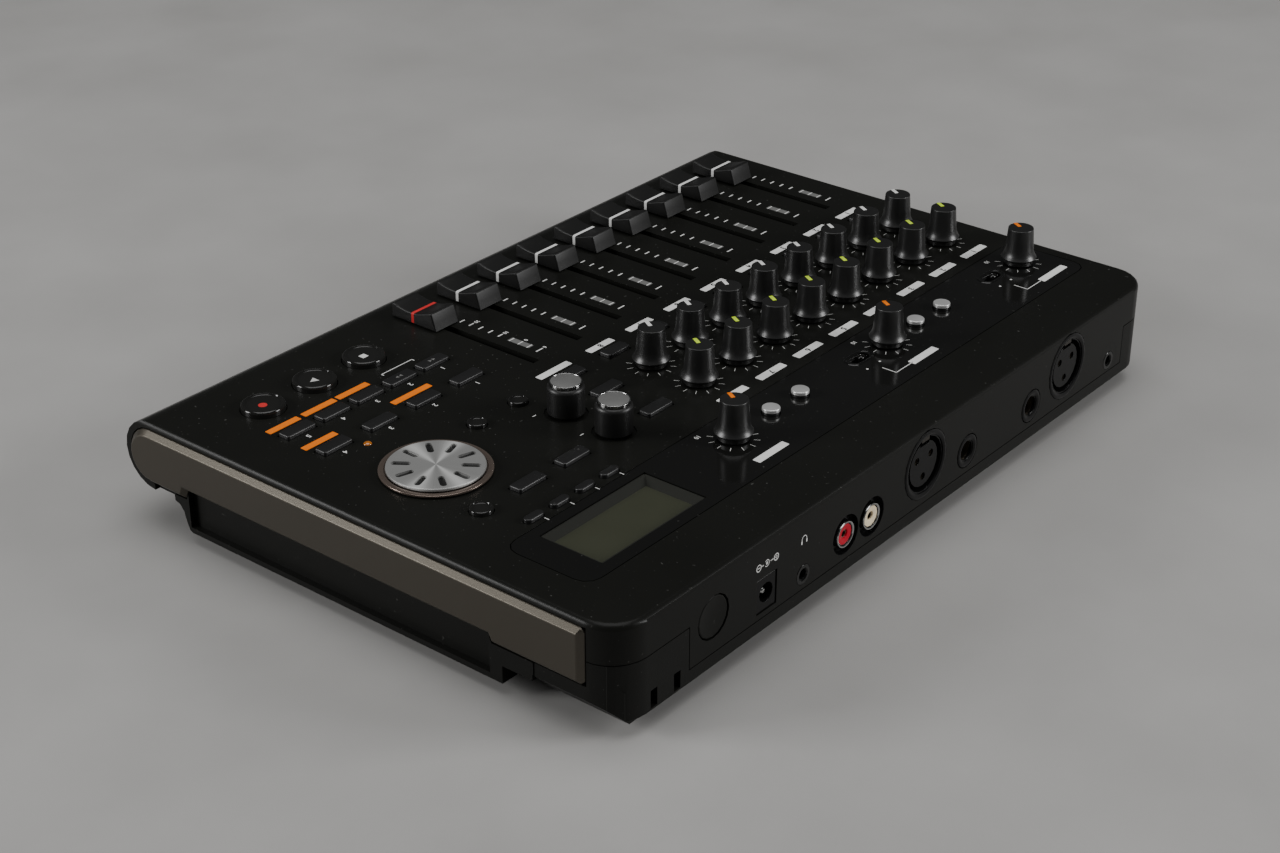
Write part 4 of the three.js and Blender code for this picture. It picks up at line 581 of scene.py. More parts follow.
def moulding(node, material, slot, body="casing", edge=0.25):
    """A CAD node's mesh, merged and flattened to whole faces, with slightly rounded edges."""
    mesh = frame["nodes"][node].data.copy()
    mesh.name = node + "_moulding"
    mesh.transform(frame["nodes"][node].matrix_world)
    work = bmesh.new()
    work.from_mesh(mesh)
    bmesh.ops.remove_doubles(work, verts=work.verts, dist=2e-6)
    bmesh.ops.dissolve_limit(work, angle_limit=math.radians(0.6), verts=work.verts,
                             edges=work.edges)
    work.to_mesh(mesh)
    work.free()
    piece = shown(mesh, material, body, MOULD_SHARP, node)
    if edge:
        bevel = piece.modifiers.new("edge", "BEVEL")
        bevel.width = edge * MM
        bevel.segments = 2
        bevel.limit_method = "ANGLE"
        bevel.angle_limit = math.radians(MOULD_SHARP)
    normals = piece.modifiers.new("normals", "WEIGHTED_NORMAL")
    normals.keep_sharp = True
    normals.weight = 100


moulding("top_casing", casing_plastic, "casing")
moulding("bottom_casing", deck_plastic, "deck")
moulding("side_trim_right", trim_paint, "trim")
moulding("side_trim_left", trim_paint, "trim")
moulding("control_strip", strip_plastic, "strip", edge=0)
print("mouldings:", 5)

# %% [markdown]
# Level knobs are satin black caps: a slim top, a waist and a flared foot. The pointer is a bar
# of soft-touch colour let into the top, so it is its own small piece on each knob's body.

# %% Level knobs
PANEL_TOP = 37.0
SHAFT_R = 2.0
KNOB_TALL = 13.3
KNOB_FOOT = [(5.0, 0.5), (5.0, 1.9), (5.9, 2.4), (6.1, 2.6), (6.1, 2.8)]
KNOB_FLARE = [(6.1, 2.8), (5.97, 3.02), (5.73, 3.4), (5.42, 3.98), (5.12, 4.85), (4.9, 6.1),
              (4.72, 8.3), (4.54, 10.8), (4.4, 12.6)]
KNOB_SHOULDER = [(4.4, 12.6), (4.35, KNOB_TALL), (3.4, KNOB_TALL)]
POINTER_SIZE = (3.5, 1.3)
POINTER_OUT = 2.5
KNOB_REST = math.radians(-120.0)


def level_knob(node, colour):
    """A turned cap with a flared foot, and its pointer."""
    centre = centre_of(node)
    foot = low(node)[2]
    top = high(node)[2]
    side = np.concatenate([soft_corners(KNOB_FOOT, 0.25), smooth_line(KNOB_FLARE, 33)[1:],
                           soft_corners(KNOB_SHOULDER, 0.22)]) + (0, top - KNOB_TALL)
    profile = [(0, foot), (SHAFT_R, foot), (SHAFT_R, side[0, 1]), *side, (0, top)]
    new_piece(node + "_cap", *turned(profile, centre), knob_plastic, node, "knob", 50, node)
    bar, outward = rounded_plan((POINTER_OUT, 0), POINTER_SIZE, 0.15, 2)
    plan = bar @ spin(KNOB_REST) + centre, outward @ spin(KNOB_REST)
    new_piece(node + "_pointer", *raised(plan, [
        (0, top - 0.3), (0, top + 0.04), (0.05, top + 0.07)]), colour, node)


for track in range(1, 9):
    level_knob(f"pan_knob_{track}", white_ink)
    level_knob(f"reverb_knob_{track}", lime_ink)
for name in ("phones_level_knob", "input_a_level_knob", "input_b_level_knob"):
    level_knob(name, orange_ink)
print("level knobs:", 19)

# %% [markdown]
# The equaliser knobs are plain drums. A shallow bright cap stands on each, with a satin face.


# %% Equaliser knobs
def drum_knob(node):
    """A drum with a soft shoulder, a bright ring of metal on it and a satin disc inside."""
    centre = centre_of(node)
    bottom = low(node)[2]
    foot = PANEL_TOP + 0.5
    top = high(node)[2]
    drum = soft_corners([(SHAFT_R, foot), (5.85, foot), (5.85, top - 2.0), (5.15, top - 1.15),
                         (3.0, top - 1.15)], 0.5)
    profile = [(0, bottom), (SHAFT_R, bottom), *drum, (0, top - 1.15)]
    new_piece(node + "_drum", *turned(profile, centre, 64), drum_plastic, node, "eq_knob",
              replaces=node)
    rim = soft_corners([(4.3, top - 1.2), (5.12, top - 1.2), (5.04, top - 0.02),
                        (4.78, top - 0.02), (4.72, top - 0.16), (4.3, top - 0.16)], 0.14)
    new_piece(node + "_rim", *turned([*rim, rim[0]], centre, 64), bright_plating, node)
    disc = [(0, top - 0.9), (4.7, top - 0.9), (4.7, top - 0.09), (4.6, top - 0.05),
            (0, top - 0.05)]
    new_piece(node + "_disc", *turned(disc, centre, 64), satin_metal, node)


for name in ("eq_low_knob", "eq_high_knob"):
    drum_knob(name)
print("equaliser knobs:", 2)

# %% [markdown]
# The data wheel is a flat metal disc pierced by ten finger slots, over a dark carrier in a plated
# ring. The carrier's dark colour is also painted shade down in the slots. The disc's face is filled
# between its rim and the slots' outlines, then walls go down.

# %% Data wheel
WHEEL_FOOT = low("data_wheel")[2]
WHEEL_TOP = high("data_wheel")[2]
RING_TOP = WHEEL_TOP - 1.0
RING_FOOT = PANEL_TOP + 0.5
DISC_R = 14.75
DISC_EDGE = 0.45
WHEEL_SLOTS = 10
SLOT_OUT = 10.25
SLOT_SIZE = (5.9, 2.1)
SLOT_FLOOR = WHEEL_TOP - 0.8
HUB_R = 8.0


def pierced_face(outlines, height):
    """A flat face inside the first outline, with the other outlines left open; filled in metres."""
    work = bmesh.new()
    for points in outlines:
        corners = [work.verts.new((x * MM, y * MM, height * MM)) for x, y in points]
        for first, second in zip(corners, corners[1:] + corners[:1]):
            work.edges.new((first, second))
    bmesh.ops.triangle_fill(work, edges=work.edges, use_beauty=True, normal=(0, 0, 1))
    work.verts.index_update()
    vertices = np.array([vertex.co for vertex in work.verts]) / MM
    faces = [[vertex.index for vertex in face.verts] for face in work.faces]
    work.free()
    return vertices, faces


def wheel_disc():
    """The pierced disc with a rounded rim and a wall down from every slot."""
    slot = rounded_plan((SLOT_OUT, 0), SLOT_SIZE, 1.04)[0]
    slots = [slot @ spin(2 * np.pi * (index + 0.5) / WHEEL_SLOTS) + WHEEL_CENTRE
             for index in range(WHEEL_SLOTS)]
    around = circle(np.linspace(0, 2 * np.pi, 120, endpoint=False))
    face_rim = around * (DISC_R - DISC_EDGE) + WHEEL_CENTRE
    curl = quarter(6)[:, ::-1] * DISC_EDGE + (DISC_R - DISC_EDGE, WHEEL_TOP - DISC_EDGE)
    rim = [*curl, (DISC_R, SLOT_FLOOR), (0, SLOT_FLOOR)]
    walls = [carried(plain(points), [(0, WHEEL_TOP), (0, SLOT_FLOOR + 0.02)]) for points in slots]
    return merged(pierced_face([face_rim, *slots], WHEEL_TOP), turned(rim, WHEEL_CENTRE, 120),
                  *walls)


new_piece("data_wheel_disc", *wheel_disc(), wheel_metal, "data_wheel", "wheel", 30, "data_wheel")
# The carrier under the slots is dark plastic, and its darkness is also painted shade for the dark
# down in the slots.
shaded_slot_floor = tube(0, 13.6, SLOT_FLOOR + 0.1, SLOT_FLOOR - 0.2)
new_piece("data_wheel_shaded_slot_floor", *turned(shaded_slot_floor, WHEEL_CENTRE, 60), drum_plastic,
          "data_wheel")
ring = soft_corners([(15.15, WHEEL_TOP - 1.6), (15.15, RING_TOP), (16.9, RING_TOP),
                     (16.9, RING_FOOT), (HUB_R, RING_FOOT)], 0.22)
ring = [(0, WHEEL_TOP - 1.6), *ring, (HUB_R, WHEEL_FOOT), (0, WHEEL_FOOT)]
new_piece("data_wheel_ring", *turned(ring, WHEEL_CENTRE, 120), ring_metal, "data_wheel")
print("data wheel slots:", WHEEL_SLOTS)

# %% [markdown]
# A fader cap is a saddle: high at both ends, a valley across the middle with a painted line.
# Its side outline is a smooth curve through a few heights, carried across the width, and the
# outline is drawn in a little near both flanks so that every edge is rounded.

# %% Fader caps
CAP_HALF_LONG = 10.3
CAP_HALF_WIDE = 5.5
CAP_EDGE = 0.5
CAP_REST_Y = -71.5
CAP_VALLEY = 4.24
CAP_FRONT = [(-0.935, 0.5), (-0.915, 3.6), (-0.895, 5.0), (-0.86, 5.38), (-0.78, 5.25),
             (-0.66, 4.88), (-0.5, 4.55), (-0.3, 4.32), (-0.12, CAP_VALLEY), (0.05, CAP_VALLEY),
             (0.2, 4.5), (0.4, 5.12), (0.6, 5.82), (0.7, 6.16), (0.765, 6.28), (0.81, 6.1),
             (0.84, 5.6)]
CAP_BACK = [(0.92, 3.0), (1.0, 0.5)]
LEVER_SIZE = (1.2, 5.0)
LINE_WIDE = 1.15
LINE_TALL = CAP_VALLEY - 0.46


def outward_of(points):
    """Outward direction at each point of an anticlockwise outline: halfway between its edges."""
    ahead = np.roll(points, -1, 0) - points
    behind = points - np.roll(points, 1, 0)
    along = ahead / np.linalg.norm(ahead, axis=1)[:, None]
    along = along + behind / np.linalg.norm(behind, axis=1)[:, None]
    along /= np.linalg.norm(along, axis=1)[:, None]
    return np.stack([along[:, 1], -along[:, 0]], -1)


def fader_cap(node, line_colour):
    """The saddle, its painted line, and the lever that goes down into the slot."""
    x = middle(node)[0]
    side = np.concatenate([smooth_line(CAP_FRONT, 65), CAP_BACK])[::-1]
    outline = side * (CAP_HALF_LONG, 1) + (CAP_REST_Y, PANEL_TOP)
    flank = (CAP_EDGE, CAP_EDGE - CAP_HALF_WIDE) - quarter(6)[:, ::-1] * CAP_EDGE
    profile = np.concatenate([flank, flank[::-1] * (1, -1)])
    saddle, faces = raised((outline, outward_of(outline)), profile)
    saddle = saddle[:, [2, 0, 1]] + (x, 0, 0)
    lever = slab(rounded_plan((x, CAP_REST_Y), LEVER_SIZE, 0.2, 2)[0], low(node)[2],
                 PANEL_TOP + 0.9)
    new_piece(node + "_saddle", *merged((saddle, faces), lever), fader_plastic, node,
              "fader_cap", 35, node)
    section = rounded_plan((x, PANEL_TOP + 0.5 + LINE_TALL / 2),
                           (2 * CAP_HALF_WIDE + 0.08, LINE_TALL), CAP_EDGE, 5)[0]
    line, faces = slab(section, CAP_REST_Y - LINE_WIDE / 2, CAP_REST_Y + LINE_WIDE / 2)
    new_piece(node + "_line", line[:, [0, 2, 1]], faces, line_colour, node)


for track in range(1, 9):
    fader_cap(f"fader_cap_track_{track}", white_ink)
fader_cap("fader_cap_master", red_ink)
print("fader caps:", 9)

# %% [markdown]
# Keys are pillow-shaped: a plan outline carried up a profile that curls in at the top. Long keys
# are satin, round ones glossy with a dished top, and a row of keys stands on one mat.

# %% Keys
KEY_TOP = PANEL_TOP + 1.3
KEY_FOOT = 33.3
KEY = (11.5, 4.6)
KEY_R = 0.7
KEY_EDGE = 0.45
ROUND_EDGE = 0.5
TRACK_X = [centre_of(f"pan_knob_{track}")[0] for track in range(1, 9)]


def pillow(plan, foot, top, edge):
    """A plan raised to top with a quarter-round edge and a flat top."""
    curl = quarter(6) * (-edge, edge) + (edge, top - edge)
    return raised(plan, [(0, foot), *curl])


def carrier(node, foot, thick, radius):
    """The flat plate under a group of keys, as wide and as long as its CAD node."""
    lowest = low(node)[:2]
    highest = high(node)[:2]
    plan = rounded_plan((lowest + highest) / 2, highest - lowest, radius, 2)[0]
    return slab(plan, foot, foot + thick)


def round_cap(at, radius):
    """A turned cap: a quarter-round rim, a short slope inside it and a flat sunken face."""
    rim = quarter(6) * ROUND_EDGE + (radius - ROUND_EDGE, KEY_TOP - ROUND_EDGE)
    bowl = soft_corners([(radius - 0.6, KEY_TOP), (radius - 0.95, KEY_TOP - 0.45),
                         (0, KEY_TOP - 0.45)], 0.22)
    return turned([(0, KEY_FOOT), (radius, KEY_FOOT), *rim, *bowl], at, 44)


def key_mat(node, keys):
    """All the keys of one moulded mat; a key as wide as it is long is a round one."""
    parts = [pillow(rounded_plan(at, size, radius), KEY_FOOT, KEY_TOP, KEY_EDGE)
             for at, size, radius in keys if size[0] != size[1]]
    round_caps = [round_cap(at, radius) for at, size, radius in keys if size[0] == size[1]]
    new_piece(node + "_caps", *merged(*parts, carrier(node, KEY_FOOT, 0.8, 0.5)), key_plastic,
              node, "key", 40, node)
    if round_caps:
        new_piece(node + "_round_caps", *merged(*round_caps), button_gloss, node, sharp=40)


def row(count, x, y, pitch, size=KEY, radius=KEY_R):
    """Equal keys in a row, from the right."""
    return [((x - i * pitch, y), size, radius) for i in range(count)]


key_mat("record_arm_keys", [((x, -7.8), (10.2, 4.6), KEY_R) for x in TRACK_X])
key_mat("punch_and_wind_keys", row(5, 118.6, -47.2, 14.5))
key_mat("locate_keys", row(4, 118.5, -31.7, 19.1))
key_mat("function_keys", row(4, 112.3, 41.6, 11.0, (7.2, 2.9), 1.45))
key_mat("menu_keys", row(1, 118.4, 27.3, 0, (7.2, 7.2), 3.59) + row(2, 98.6, 27.3, 19.4))
key_mat("metronome_and_tuner_keys", row(2, 81.5, -8.4, 18.5, (6.3, 6.3), 3.14))
key_mat("eq_mute_keys", [((39.6, y), KEY, KEY_R) for y in (27.0, 7.4, -7.8)])
print("key mats:", 7)

# %% [markdown]
# The transport buttons are low discs of polished plastic, so they show the lights as thin bright
# arcs at the rim. The little buttons on the strip are flat satin discs on black stems, and the
# stems are painted shade: a dark body where the shade under each disc falls.

# %% Buttons
SILVER_Y = 55.8
SILVER_R = 2.85
SHADE_STEM_R = 2.7


def transport_button(node):
    """A low glossy disc: a rounded rim, a short slope inside it and a flat sunken face."""
    foot = low(node)[2]
    top = high(node)[2]
    shoulder = quarter(10) * (0.8, 0.9) + (6.2, top - 0.9)
    bowl = soft_corners([(6.2, top), (6.1, top), (5.72, top - 0.5), (0, top - 0.5)], 0.26)[1:]
    profile = [(0, foot), (8.0, foot), (8.0, foot + 0.8), (7.0, foot + 0.8), *shoulder, *bowl]
    new_piece(node + "_disc", *turned(profile, middle(node)[:2], 72), button_gloss, node,
              "transport", 40, node)


def disc_pair(node, places):
    """Two black stems as painted shade on their carrier, each with a satin metal disc on top."""
    foot = low(node)[2]
    top = high(node)[2]
    disc = [(0, top - 1.15), *soft_corners([(SILVER_R, top - 1.15), (SILVER_R, top - 0.05),
                                            (0, top)], 0.4)]
    # The black stems stand where the shade under each disc falls: painted shade.
    shade_stems = [turned(tube(0, SHADE_STEM_R, foot, top - 1.0), (x, SILVER_Y), 40) for x in places]
    discs = [turned(disc, (x, SILVER_Y), 44) for x in places]
    new_piece(node + "_shade_stems", *merged(*shade_stems, carrier(node, foot, 0.7, 0.4)), key_plastic, node,
              "silver_button", 40, node)
    new_piece(node + "_discs", *merged(*discs), button_metal, node, sharp=40)


def slide_lever(node):
    """A small grip with a rounded top on its sliding plate."""
    foot = low(node)[2]
    grip = pillow(rounded_plan(middle(node)[:2], (3.0, 2.2), 1.05), foot + 0.5, high(node)[2], 0.95)
    new_piece(node + "_lever", *merged(carrier(node, foot, 0.6, 0.3), grip), smoked_plastic, node,
              "slide_lever", 50, node)


for name in ("record_button", "play_button", "stop_button"):
    transport_button(name)
disc_pair("output_buttons", (19.5, 4.3))
disc_pair("input_buttons", (-60.5, -76.3))
for name in ("input_a_phase_switch", "input_b_phase_switch"):
    slide_lever(name)
moulding("standby_button", casing_plastic, "key", "standby_button", 0.3)
print("buttons:", 10)

# %% [markdown]
# The display lies a few millimetres deep. Its frame slopes from the window's edge down to the
# glass, so from the back corner two sides of the frame show and two hide.

# %% Display
WINDOW_LOW = np.array([72.3, 49.0])
WINDOW_HIGH = np.array([118.5, 71.8])
WINDOW_CENTRE = (WINDOW_LOW + WINDOW_HIGH) / 2
WINDOW_SIZE = WINDOW_HIGH - WINDOW_LOW - 0.4
GLASS_INSET = 2.6
GLASS_TOP = PANEL_TOP - 2.3
FRAME_TOP = PANEL_TOP - 0.35
FRAME_FOOT = low("display_module")[2]

# Down the frame's outer wall, under the glass, and up the slope to the window
frame_rings = [(0, FRAME_TOP), (0, FRAME_FOOT), (GLASS_INSET + 1, FRAME_FOOT),
               (GLASS_INSET + 1, GLASS_TOP - 1), (GLASS_INSET, GLASS_TOP), (0.5, FRAME_TOP),
               (0, FRAME_TOP)]
new_piece("display_frame", *carried(rounded_plan(WINDOW_CENTRE, WINDOW_SIZE, 0.3, 2), frame_rings),
          frame_plastic, "casing", "display", 20, "display_module")
new_piece("display_cells", *raised(
    rounded_plan(WINDOW_CENTRE, WINDOW_SIZE - 2 * GLASS_INSET, 0.3, 2),
    [(-0.6, GLASS_TOP - 0.9), (-0.6, GLASS_TOP - 0.6), (0, GLASS_TOP - 0.05)]),
    display_glass, "casing")
print("display size in mm:", np.round(WINDOW_SIZE, 1))

# %% [markdown]
# Print on the panel is a set of flat plans, all made as thin slabs that stand a few hundredths of
# a millimetre proud. Boxes are bare or carry plain numbers.

# %% Print helpers
INK_RISE = 0.03
INK_ROOT = 0.02
BACK_FACE = high("top_casing")[1]


def bar(x, y, long, wide, radius=0.0, turn=0.0):
    """A rectangle, turned by degrees about its own middle."""
    plan = rounded_plan((0, 0), (long, wide), max(radius, 0.02), 2)[0]
    return plan @ spin(math.radians(turn)) + (x, y)


def ring_ticks(x, y, wide, inner=6.1, outer=8.05, count=11):
    """Short radial lines round a knob, from seven o'clock the long way to five o'clock."""
    middle_r = (inner + outer) / 2
    angles = KNOB_REST - np.radians(300.0) * np.arange(count) / (count - 1)
    return [bar(x + middle_r * math.cos(angle), y + middle_r * math.sin(angle), outer - inner,
                wide, 0, math.degrees(angle)) for angle in angles]


def round_plan(x, y, radius, sides=28, start=0.0):
    """A disc as a plan of points."""
    return circle(np.radians(start + 360.0 * np.arange(sides) / sides)) * radius + (x, y)


def to_back(vertices):
    """Panel coordinates stood up on the back wall: X stays, Y becomes height, height goes back."""
    return vertices[:, [0, 2, 1]] + (0, BACK_FACE, 0)


def printed(plans, level):
    """All the plans of one ink as slabs at one level."""
    return merged(*[slab(plan, level - INK_ROOT, level + INK_RISE) for plan in plans])


def print_piece(name, plans, material, level=PANEL_TOP, body="casing"):
    """All the plans of one ink on the panel in one object."""
    new_piece(name, *printed(plans, level), material, body)


def plain_number(text, x, y, size, heavier=0.04):
    """A number from Blender's own typeface as flat faces, centred, on the panel."""
    curve = bpy.data.curves.new("number", "FONT")
    curve.body = text
    curve.size = size * MM
    curve.offset = heavier * MM
    curve.align_x = "CENTER"
    curve.align_y = "CENTER"
    holder = bpy.data.objects.new("number", curve)
    flat = bpy.data.meshes.new_from_object(holder)
    points = np.empty(len(flat.vertices) * 3)
    flat.vertices.foreach_get("co", points)
    faces = [list(polygon.vertices) for polygon in flat.polygons]
    bpy.data.objects.remove(holder)
    bpy.data.curves.remove(curve)
    bpy.data.meshes.remove(flat)
    return points.reshape(-1, 3) / MM + (x, y, PANEL_TOP + INK_RISE * 1.6), faces


print("print helpers ready")

# %% [markdown]
# The track half of the panel: a scale beside each fader, a white box over it and another behind
# each pair of knobs, and eleven ticks round every knob.

# %% Print of the tracks
FADER_XS = TRACK_X + [38.5]
SCALE_OFFSET = -6.8
SCALE_YS = (-69.2, -65.1, -61.0, -56.9, -52.7, -48.4, -44.1)
SCALE_BOX_Y = -35.35
SCALE_BOX_LONG = 9.1
SCALE_END_Y = -27.2
BOX_ROWS = ((-0.25, -14.1, 12.0, 2.8), (-0.1, 39.5, 13.5, 3.0))
KNOB_ROWS = (7.2, 26.4)
TICK_WIDE = 0.18

white_plans = []
grey_plans = []
for x in FADER_XS:
    scale_x = x + SCALE_OFFSET
    white_plans += [bar(scale_x, y, 2.3, 0.5) for y in SCALE_YS]
    white_plans.append(bar(scale_x, SCALE_END_Y, 3.2, 0.5))
    grey_plans.append(bar(scale_x, SCALE_BOX_Y, 2.6, SCALE_BOX_LONG))
    white_plans += [bar(scale_x, SCALE_BOX_Y + mark * 0.42 * SCALE_BOX_LONG, 2.6, 0.35)
                    for mark in (-1, 0, 1)]
numbers = [plain_number(text, FADER_XS[-1] + SCALE_OFFSET - 2.6, y, 2.0) for text, y in (
    ("0", SCALE_BOX_Y), ("6", SCALE_END_Y), ("10", -44.1), ("20", -56.9))]
box_numbers = []
tick_plans = []
for number, x in enumerate(TRACK_X, 1):
    for shift, y, long, wide in BOX_ROWS:
        white_plans.append(bar(x + shift, y, long, wide, 0.4))
        box_numbers.append(plain_number(str(number), x + shift, y, 3.0, 0.09))
    for y in KNOB_ROWS:
        tick_plans += ring_ticks(x, y, TICK_WIDE)
white_plans.append(bar(39.7, -14.1, 14.8, 2.8, 0.4))
print_piece("panel_print_white", white_plans, white_ink)
print_piece("panel_ticks", tick_plans, tick_ink)
print_piece("panel_print_grey", grey_plans, grey_ink, PANEL_TOP - 0.005)
new_piece("panel_numbers_white", *merged(*numbers), white_ink, "casing")
new_piece("panel_numbers_black", *merged(*box_numbers), black_ink, "casing")
print("white plans:", len(white_plans), "numbers:", len(numbers) + len(box_numbers))

# %% [markdown]
# The right half has orange bars in front of some keys, plain numbers behind most keys, and a lamp
# beside the wheel. The transport buttons carry the usual dot, triangle and square.

# %% Print and lamp of the right half
ORANGE_BARS = [(118.65, -53.3, 12.7), (103.9, -53.3, 13.4), (89.6, -53.3, 13.2),
               (118.65, -37.65, 13.3), (79.7, -37.65, 16.4)]
FUNCTION_XS = [112.3 - 11.0 * i for i in range(4)]
EQ_X = 58.8
EQ_MARK_OUT = 7.6
EQ_MARK = (1.5, 0.36)
print_piece("panel_print_orange", [bar(x, y, long, 2.6, 0.3) for x, y, long in ORANGE_BARS],
            orange_ink)
right_plans = [bar(x - 2.2, 44.5, 0.3, 1.7) for x in FUNCTION_XS]
right_plans += [bar(69.2, -54.2, 13.6, 0.3), bar(76.0, -53.7, 0.3, 1.2), bar(62.4, -53.7, 0.3, 1.2)]
for y in (1.3, 20.2):  # a plus at the left of each equaliser knob, a minus at the right
    right_plans += [bar(EQ_X + EQ_MARK_OUT, y, *EQ_MARK), bar(EQ_X - EQ_MARK_OUT, y, *EQ_MARK),
                    bar(EQ_X - EQ_MARK_OUT, y, *EQ_MARK[::-1])]
print_piece("panel_print_marks", right_plans, white_ink)
key_numbers = [plain_number(str(4 - i), 118.5 - 19.1 * i, -27.0, 2.6) for i in range(4)]
key_numbers += [plain_number(str(5 - i), 118.6 - 14.5 * i, -42.5, 2.6) for i in range(5)]
new_piece("panel_key_numbers", *merged(*key_numbers), white_ink, "casing")


def lamp(name, at, radius):
    """A small lens with a domed top in the panel, in a thin black ring."""
    dome = quarter(8) * (radius, 0.7) + (0, PANEL_TOP)
    profile = [(0, PANEL_TOP - 1), (radius, PANEL_TOP - 1), *dome]
    new_piece(name, *turned(profile, at, 32), lens_plastic, "casing")
    well = tube(radius, radius + 0.35, PANEL_TOP - 0.3, PANEL_TOP + 0.05)
    new_piece(name + "_ring", *turned([*well, well[0]], at, 32), black_ink, "casing")


lamp("overdub_lamp", (110.8, -25.4), 1.3)
SYMBOL_LEVEL = high("record_button")[2] - 0.5
symbols = {
    "record_button": (round_plan(115.6, -65.5, 1.4), red_ink),
    "play_button": (round_plan(94.1, -65.5, 1.7, 3), tick_ink),
    "stop_button": (bar(72.6, -65.5, 2.3, 2.3), white_ink),
}
for name, (plan, material) in symbols.items():
    print_piece(name + "_symbol", [plan], material, SYMBOL_LEVEL, name)
wind_plans = [round_plan(x + step, -47.2, 0.8, 3, way) for x, way in ((75.1, 0.0), (60.6, 180.0))
              for step in (-0.75, 0.75)]
print_piece("wind_key_symbols", wind_plans, grey_ink, KEY_TOP, "punch_and_wind_keys")
print("orange bars:", len(ORANGE_BARS))

# %% [markdown]
# The glossy strip: a white box behind each knob, eleven fine ticks round it, a thin bracket and
# two dots beside each slide switch, and a dished oval round the switch itself.

# %% Print of the strip
STRIP_KNOB_XS = (39.6, -42.6, -124.0)
STRIP_KNOB_Y = 56.7
STRIP_BOX_Y = 70.4
STRIP_BOXES = ((39.35, 14.7), (-42.8, 14.0), (-124.0, 15.5))
STRIP_TICK_WIDE = 0.2
DISH = [(0, -0.02), (0.25, 0.2), (0.7, 0.22), (1.3, -0.15), (2.0, -0.9), (2.05, -1.1),
        (0.6, -0.1), (0, -0.02)]
strip_plans = [bar(x, STRIP_BOX_Y, long, 2.8, 0.3) for x, long in STRIP_BOXES]
strip_ticks = []
strip_numbers = []
for x in STRIP_KNOB_XS:
    strip_ticks += ring_ticks(x, STRIP_KNOB_Y, STRIP_TICK_WIDE)
    strip_numbers += [plain_number("0", x - 6.2, 48.0, 2.2), plain_number("10", x + 6.4, 48.0, 2.2)]
for x in (-44.0, -124.0):
    strip_plans += [bar(x + 12.1, STRIP_BOX_Y, 9.4, 0.28), bar(x + 16.8, 67.8, 0.28, 5.4),
                    round_plan(x + 20.6, 62.0, 0.4, 12), round_plan(x + 13.6, 62.0, 0.4, 12)]
print_piece("strip_print_white", strip_plans, white_ink)
print_piece("strip_ticks", strip_ticks, tick_ink)
new_piece("strip_numbers", *merged(*strip_numbers), white_ink, "casing")
for name, x in (("input_b", -28.3), ("input_a", -108.3)):
    new_piece(name + "_switch_dish", *carried(rounded_plan((x, 55.5), (12.6, 6.8), 3.39, 10),
                                              np.array(DISH) + (0, PANEL_TOP)),
              smoked_plastic, "casing", sharp=60)
print("strip plans:", len(strip_plans))

# %% [markdown]
# On the back every socket is a stack of rings turned about a level axis: the same turned
# profiles as the knobs, stood up against the back wall.

# %% Sockets
PIN_OUT = 4.4
MICROPHONE_Z = 24.1
ARCH_R = 5.4
ARCH_WIDE = 0.25
ARCH_FOOT = 10.9
ARCH_SWEEP = 190.0
ARCH_STEPS = 16

# Each ring: name, (radius, distance out from the back face) pairs, finish, sides
BEZEL = ("bezel", [(9.5, -0.4), (11.2, -0.35), (11.35, 0.05), (10.9, 0.28), (10.2, 0.28),
                   (9.6, 0.0), (9.3, -1.6), (9.5, -1.6)], socket_plastic, 64)
LINE_RINGS = [
    ("nut", [(3.5, -0.3), (5.55, -0.32), (5.5, 0.0), (5.1, 0.22), (4.3, 0.22), (3.6, -0.1),
             (3.3, -1.2), (3.5, -1.2)], socket_plastic, 48),
    ("sleeve", tube(2.9, 3.22, -1.3, -4.4), contact_metal, 48)]
PHONO_RINGS = [
    ("well", [(4.4, -2.2), (6.55, -2.2), (6.55, -0.05), (6.35, -0.05), (6.3, -2.0), (4.4, -2.0)],
     socket_plastic, 48),
    ("shell", [(3.6, -2.6), (4.3, -2.6), (4.3, -0.15), (4.15, 0.1), (3.8, 0.1), (3.6, -0.15)],
     bright_plating, 48)]
PHONO_CONTACT = ("contact", tube(0.9, 1.28, -0.9, -5.0), contact_metal, 24)
PHONO_INSERT = [(1.3, -3.5), (3.58, -3.5), (3.58, -0.5), (3.4, -0.34), (2.0, -0.34), (1.5, -0.5),
                (1.3, -0.8)]
JACK_RINGS = [
    ("ring", [(1.84, -2.6), (3.32, -2.6), (3.32, -0.1), (3.1, 0.12), (2.15, 0.12), (1.84, -0.25)],
     smoked_plastic, 40),
    ("tube", [(1.6, -0.5), (1.84, -0.5), (1.84, -9.0), (0.02, -9.0), (0.02, -8.7), (1.6, -8.7)],
     socket_plastic, 28)]
POWER_PIN = ("pin", [(0.02, -8.0), (0.95, -8.0), (0.95, -1.6), (0.6, -1.2), (0.02, -1.1)],
             bright_plating, 24)


def socket_rings(socket, x, height, *rings):
    """Closed rings about one level axis, each a piece of its own."""
    for name, profile, material, sides in rings:
        vertices, faces = turned([*profile, profile[0]], (x, height), sides)
        new_piece(f"{socket}_{name}", to_back(vertices), faces, material, "casing", sharp=35)


def jack_arch(name, x, height):
    """A thin line like a doorway round a small jack: the strip between two arches."""
    bow = circle(np.radians(ARCH_SWEEP * np.arange(ARCH_STEPS) / ARCH_STEPS))
    outlines = [[*(bow * radius + (x, height)), (x - radius, ARCH_FOOT), (x + radius, ARCH_FOOT)]
                for radius in (ARCH_R, ARCH_R - ARCH_WIDE)]
    count = len(outlines[0])
    flat = np.concatenate([np.concatenate(outlines), np.full((2 * count, 1), 0.012)], -1)
    faces = [[i, i + 1, count + i + 1, count + i] for i in range(count - 1)]
    new_piece(name, to_back(flat), faces, black_ink, "casing")


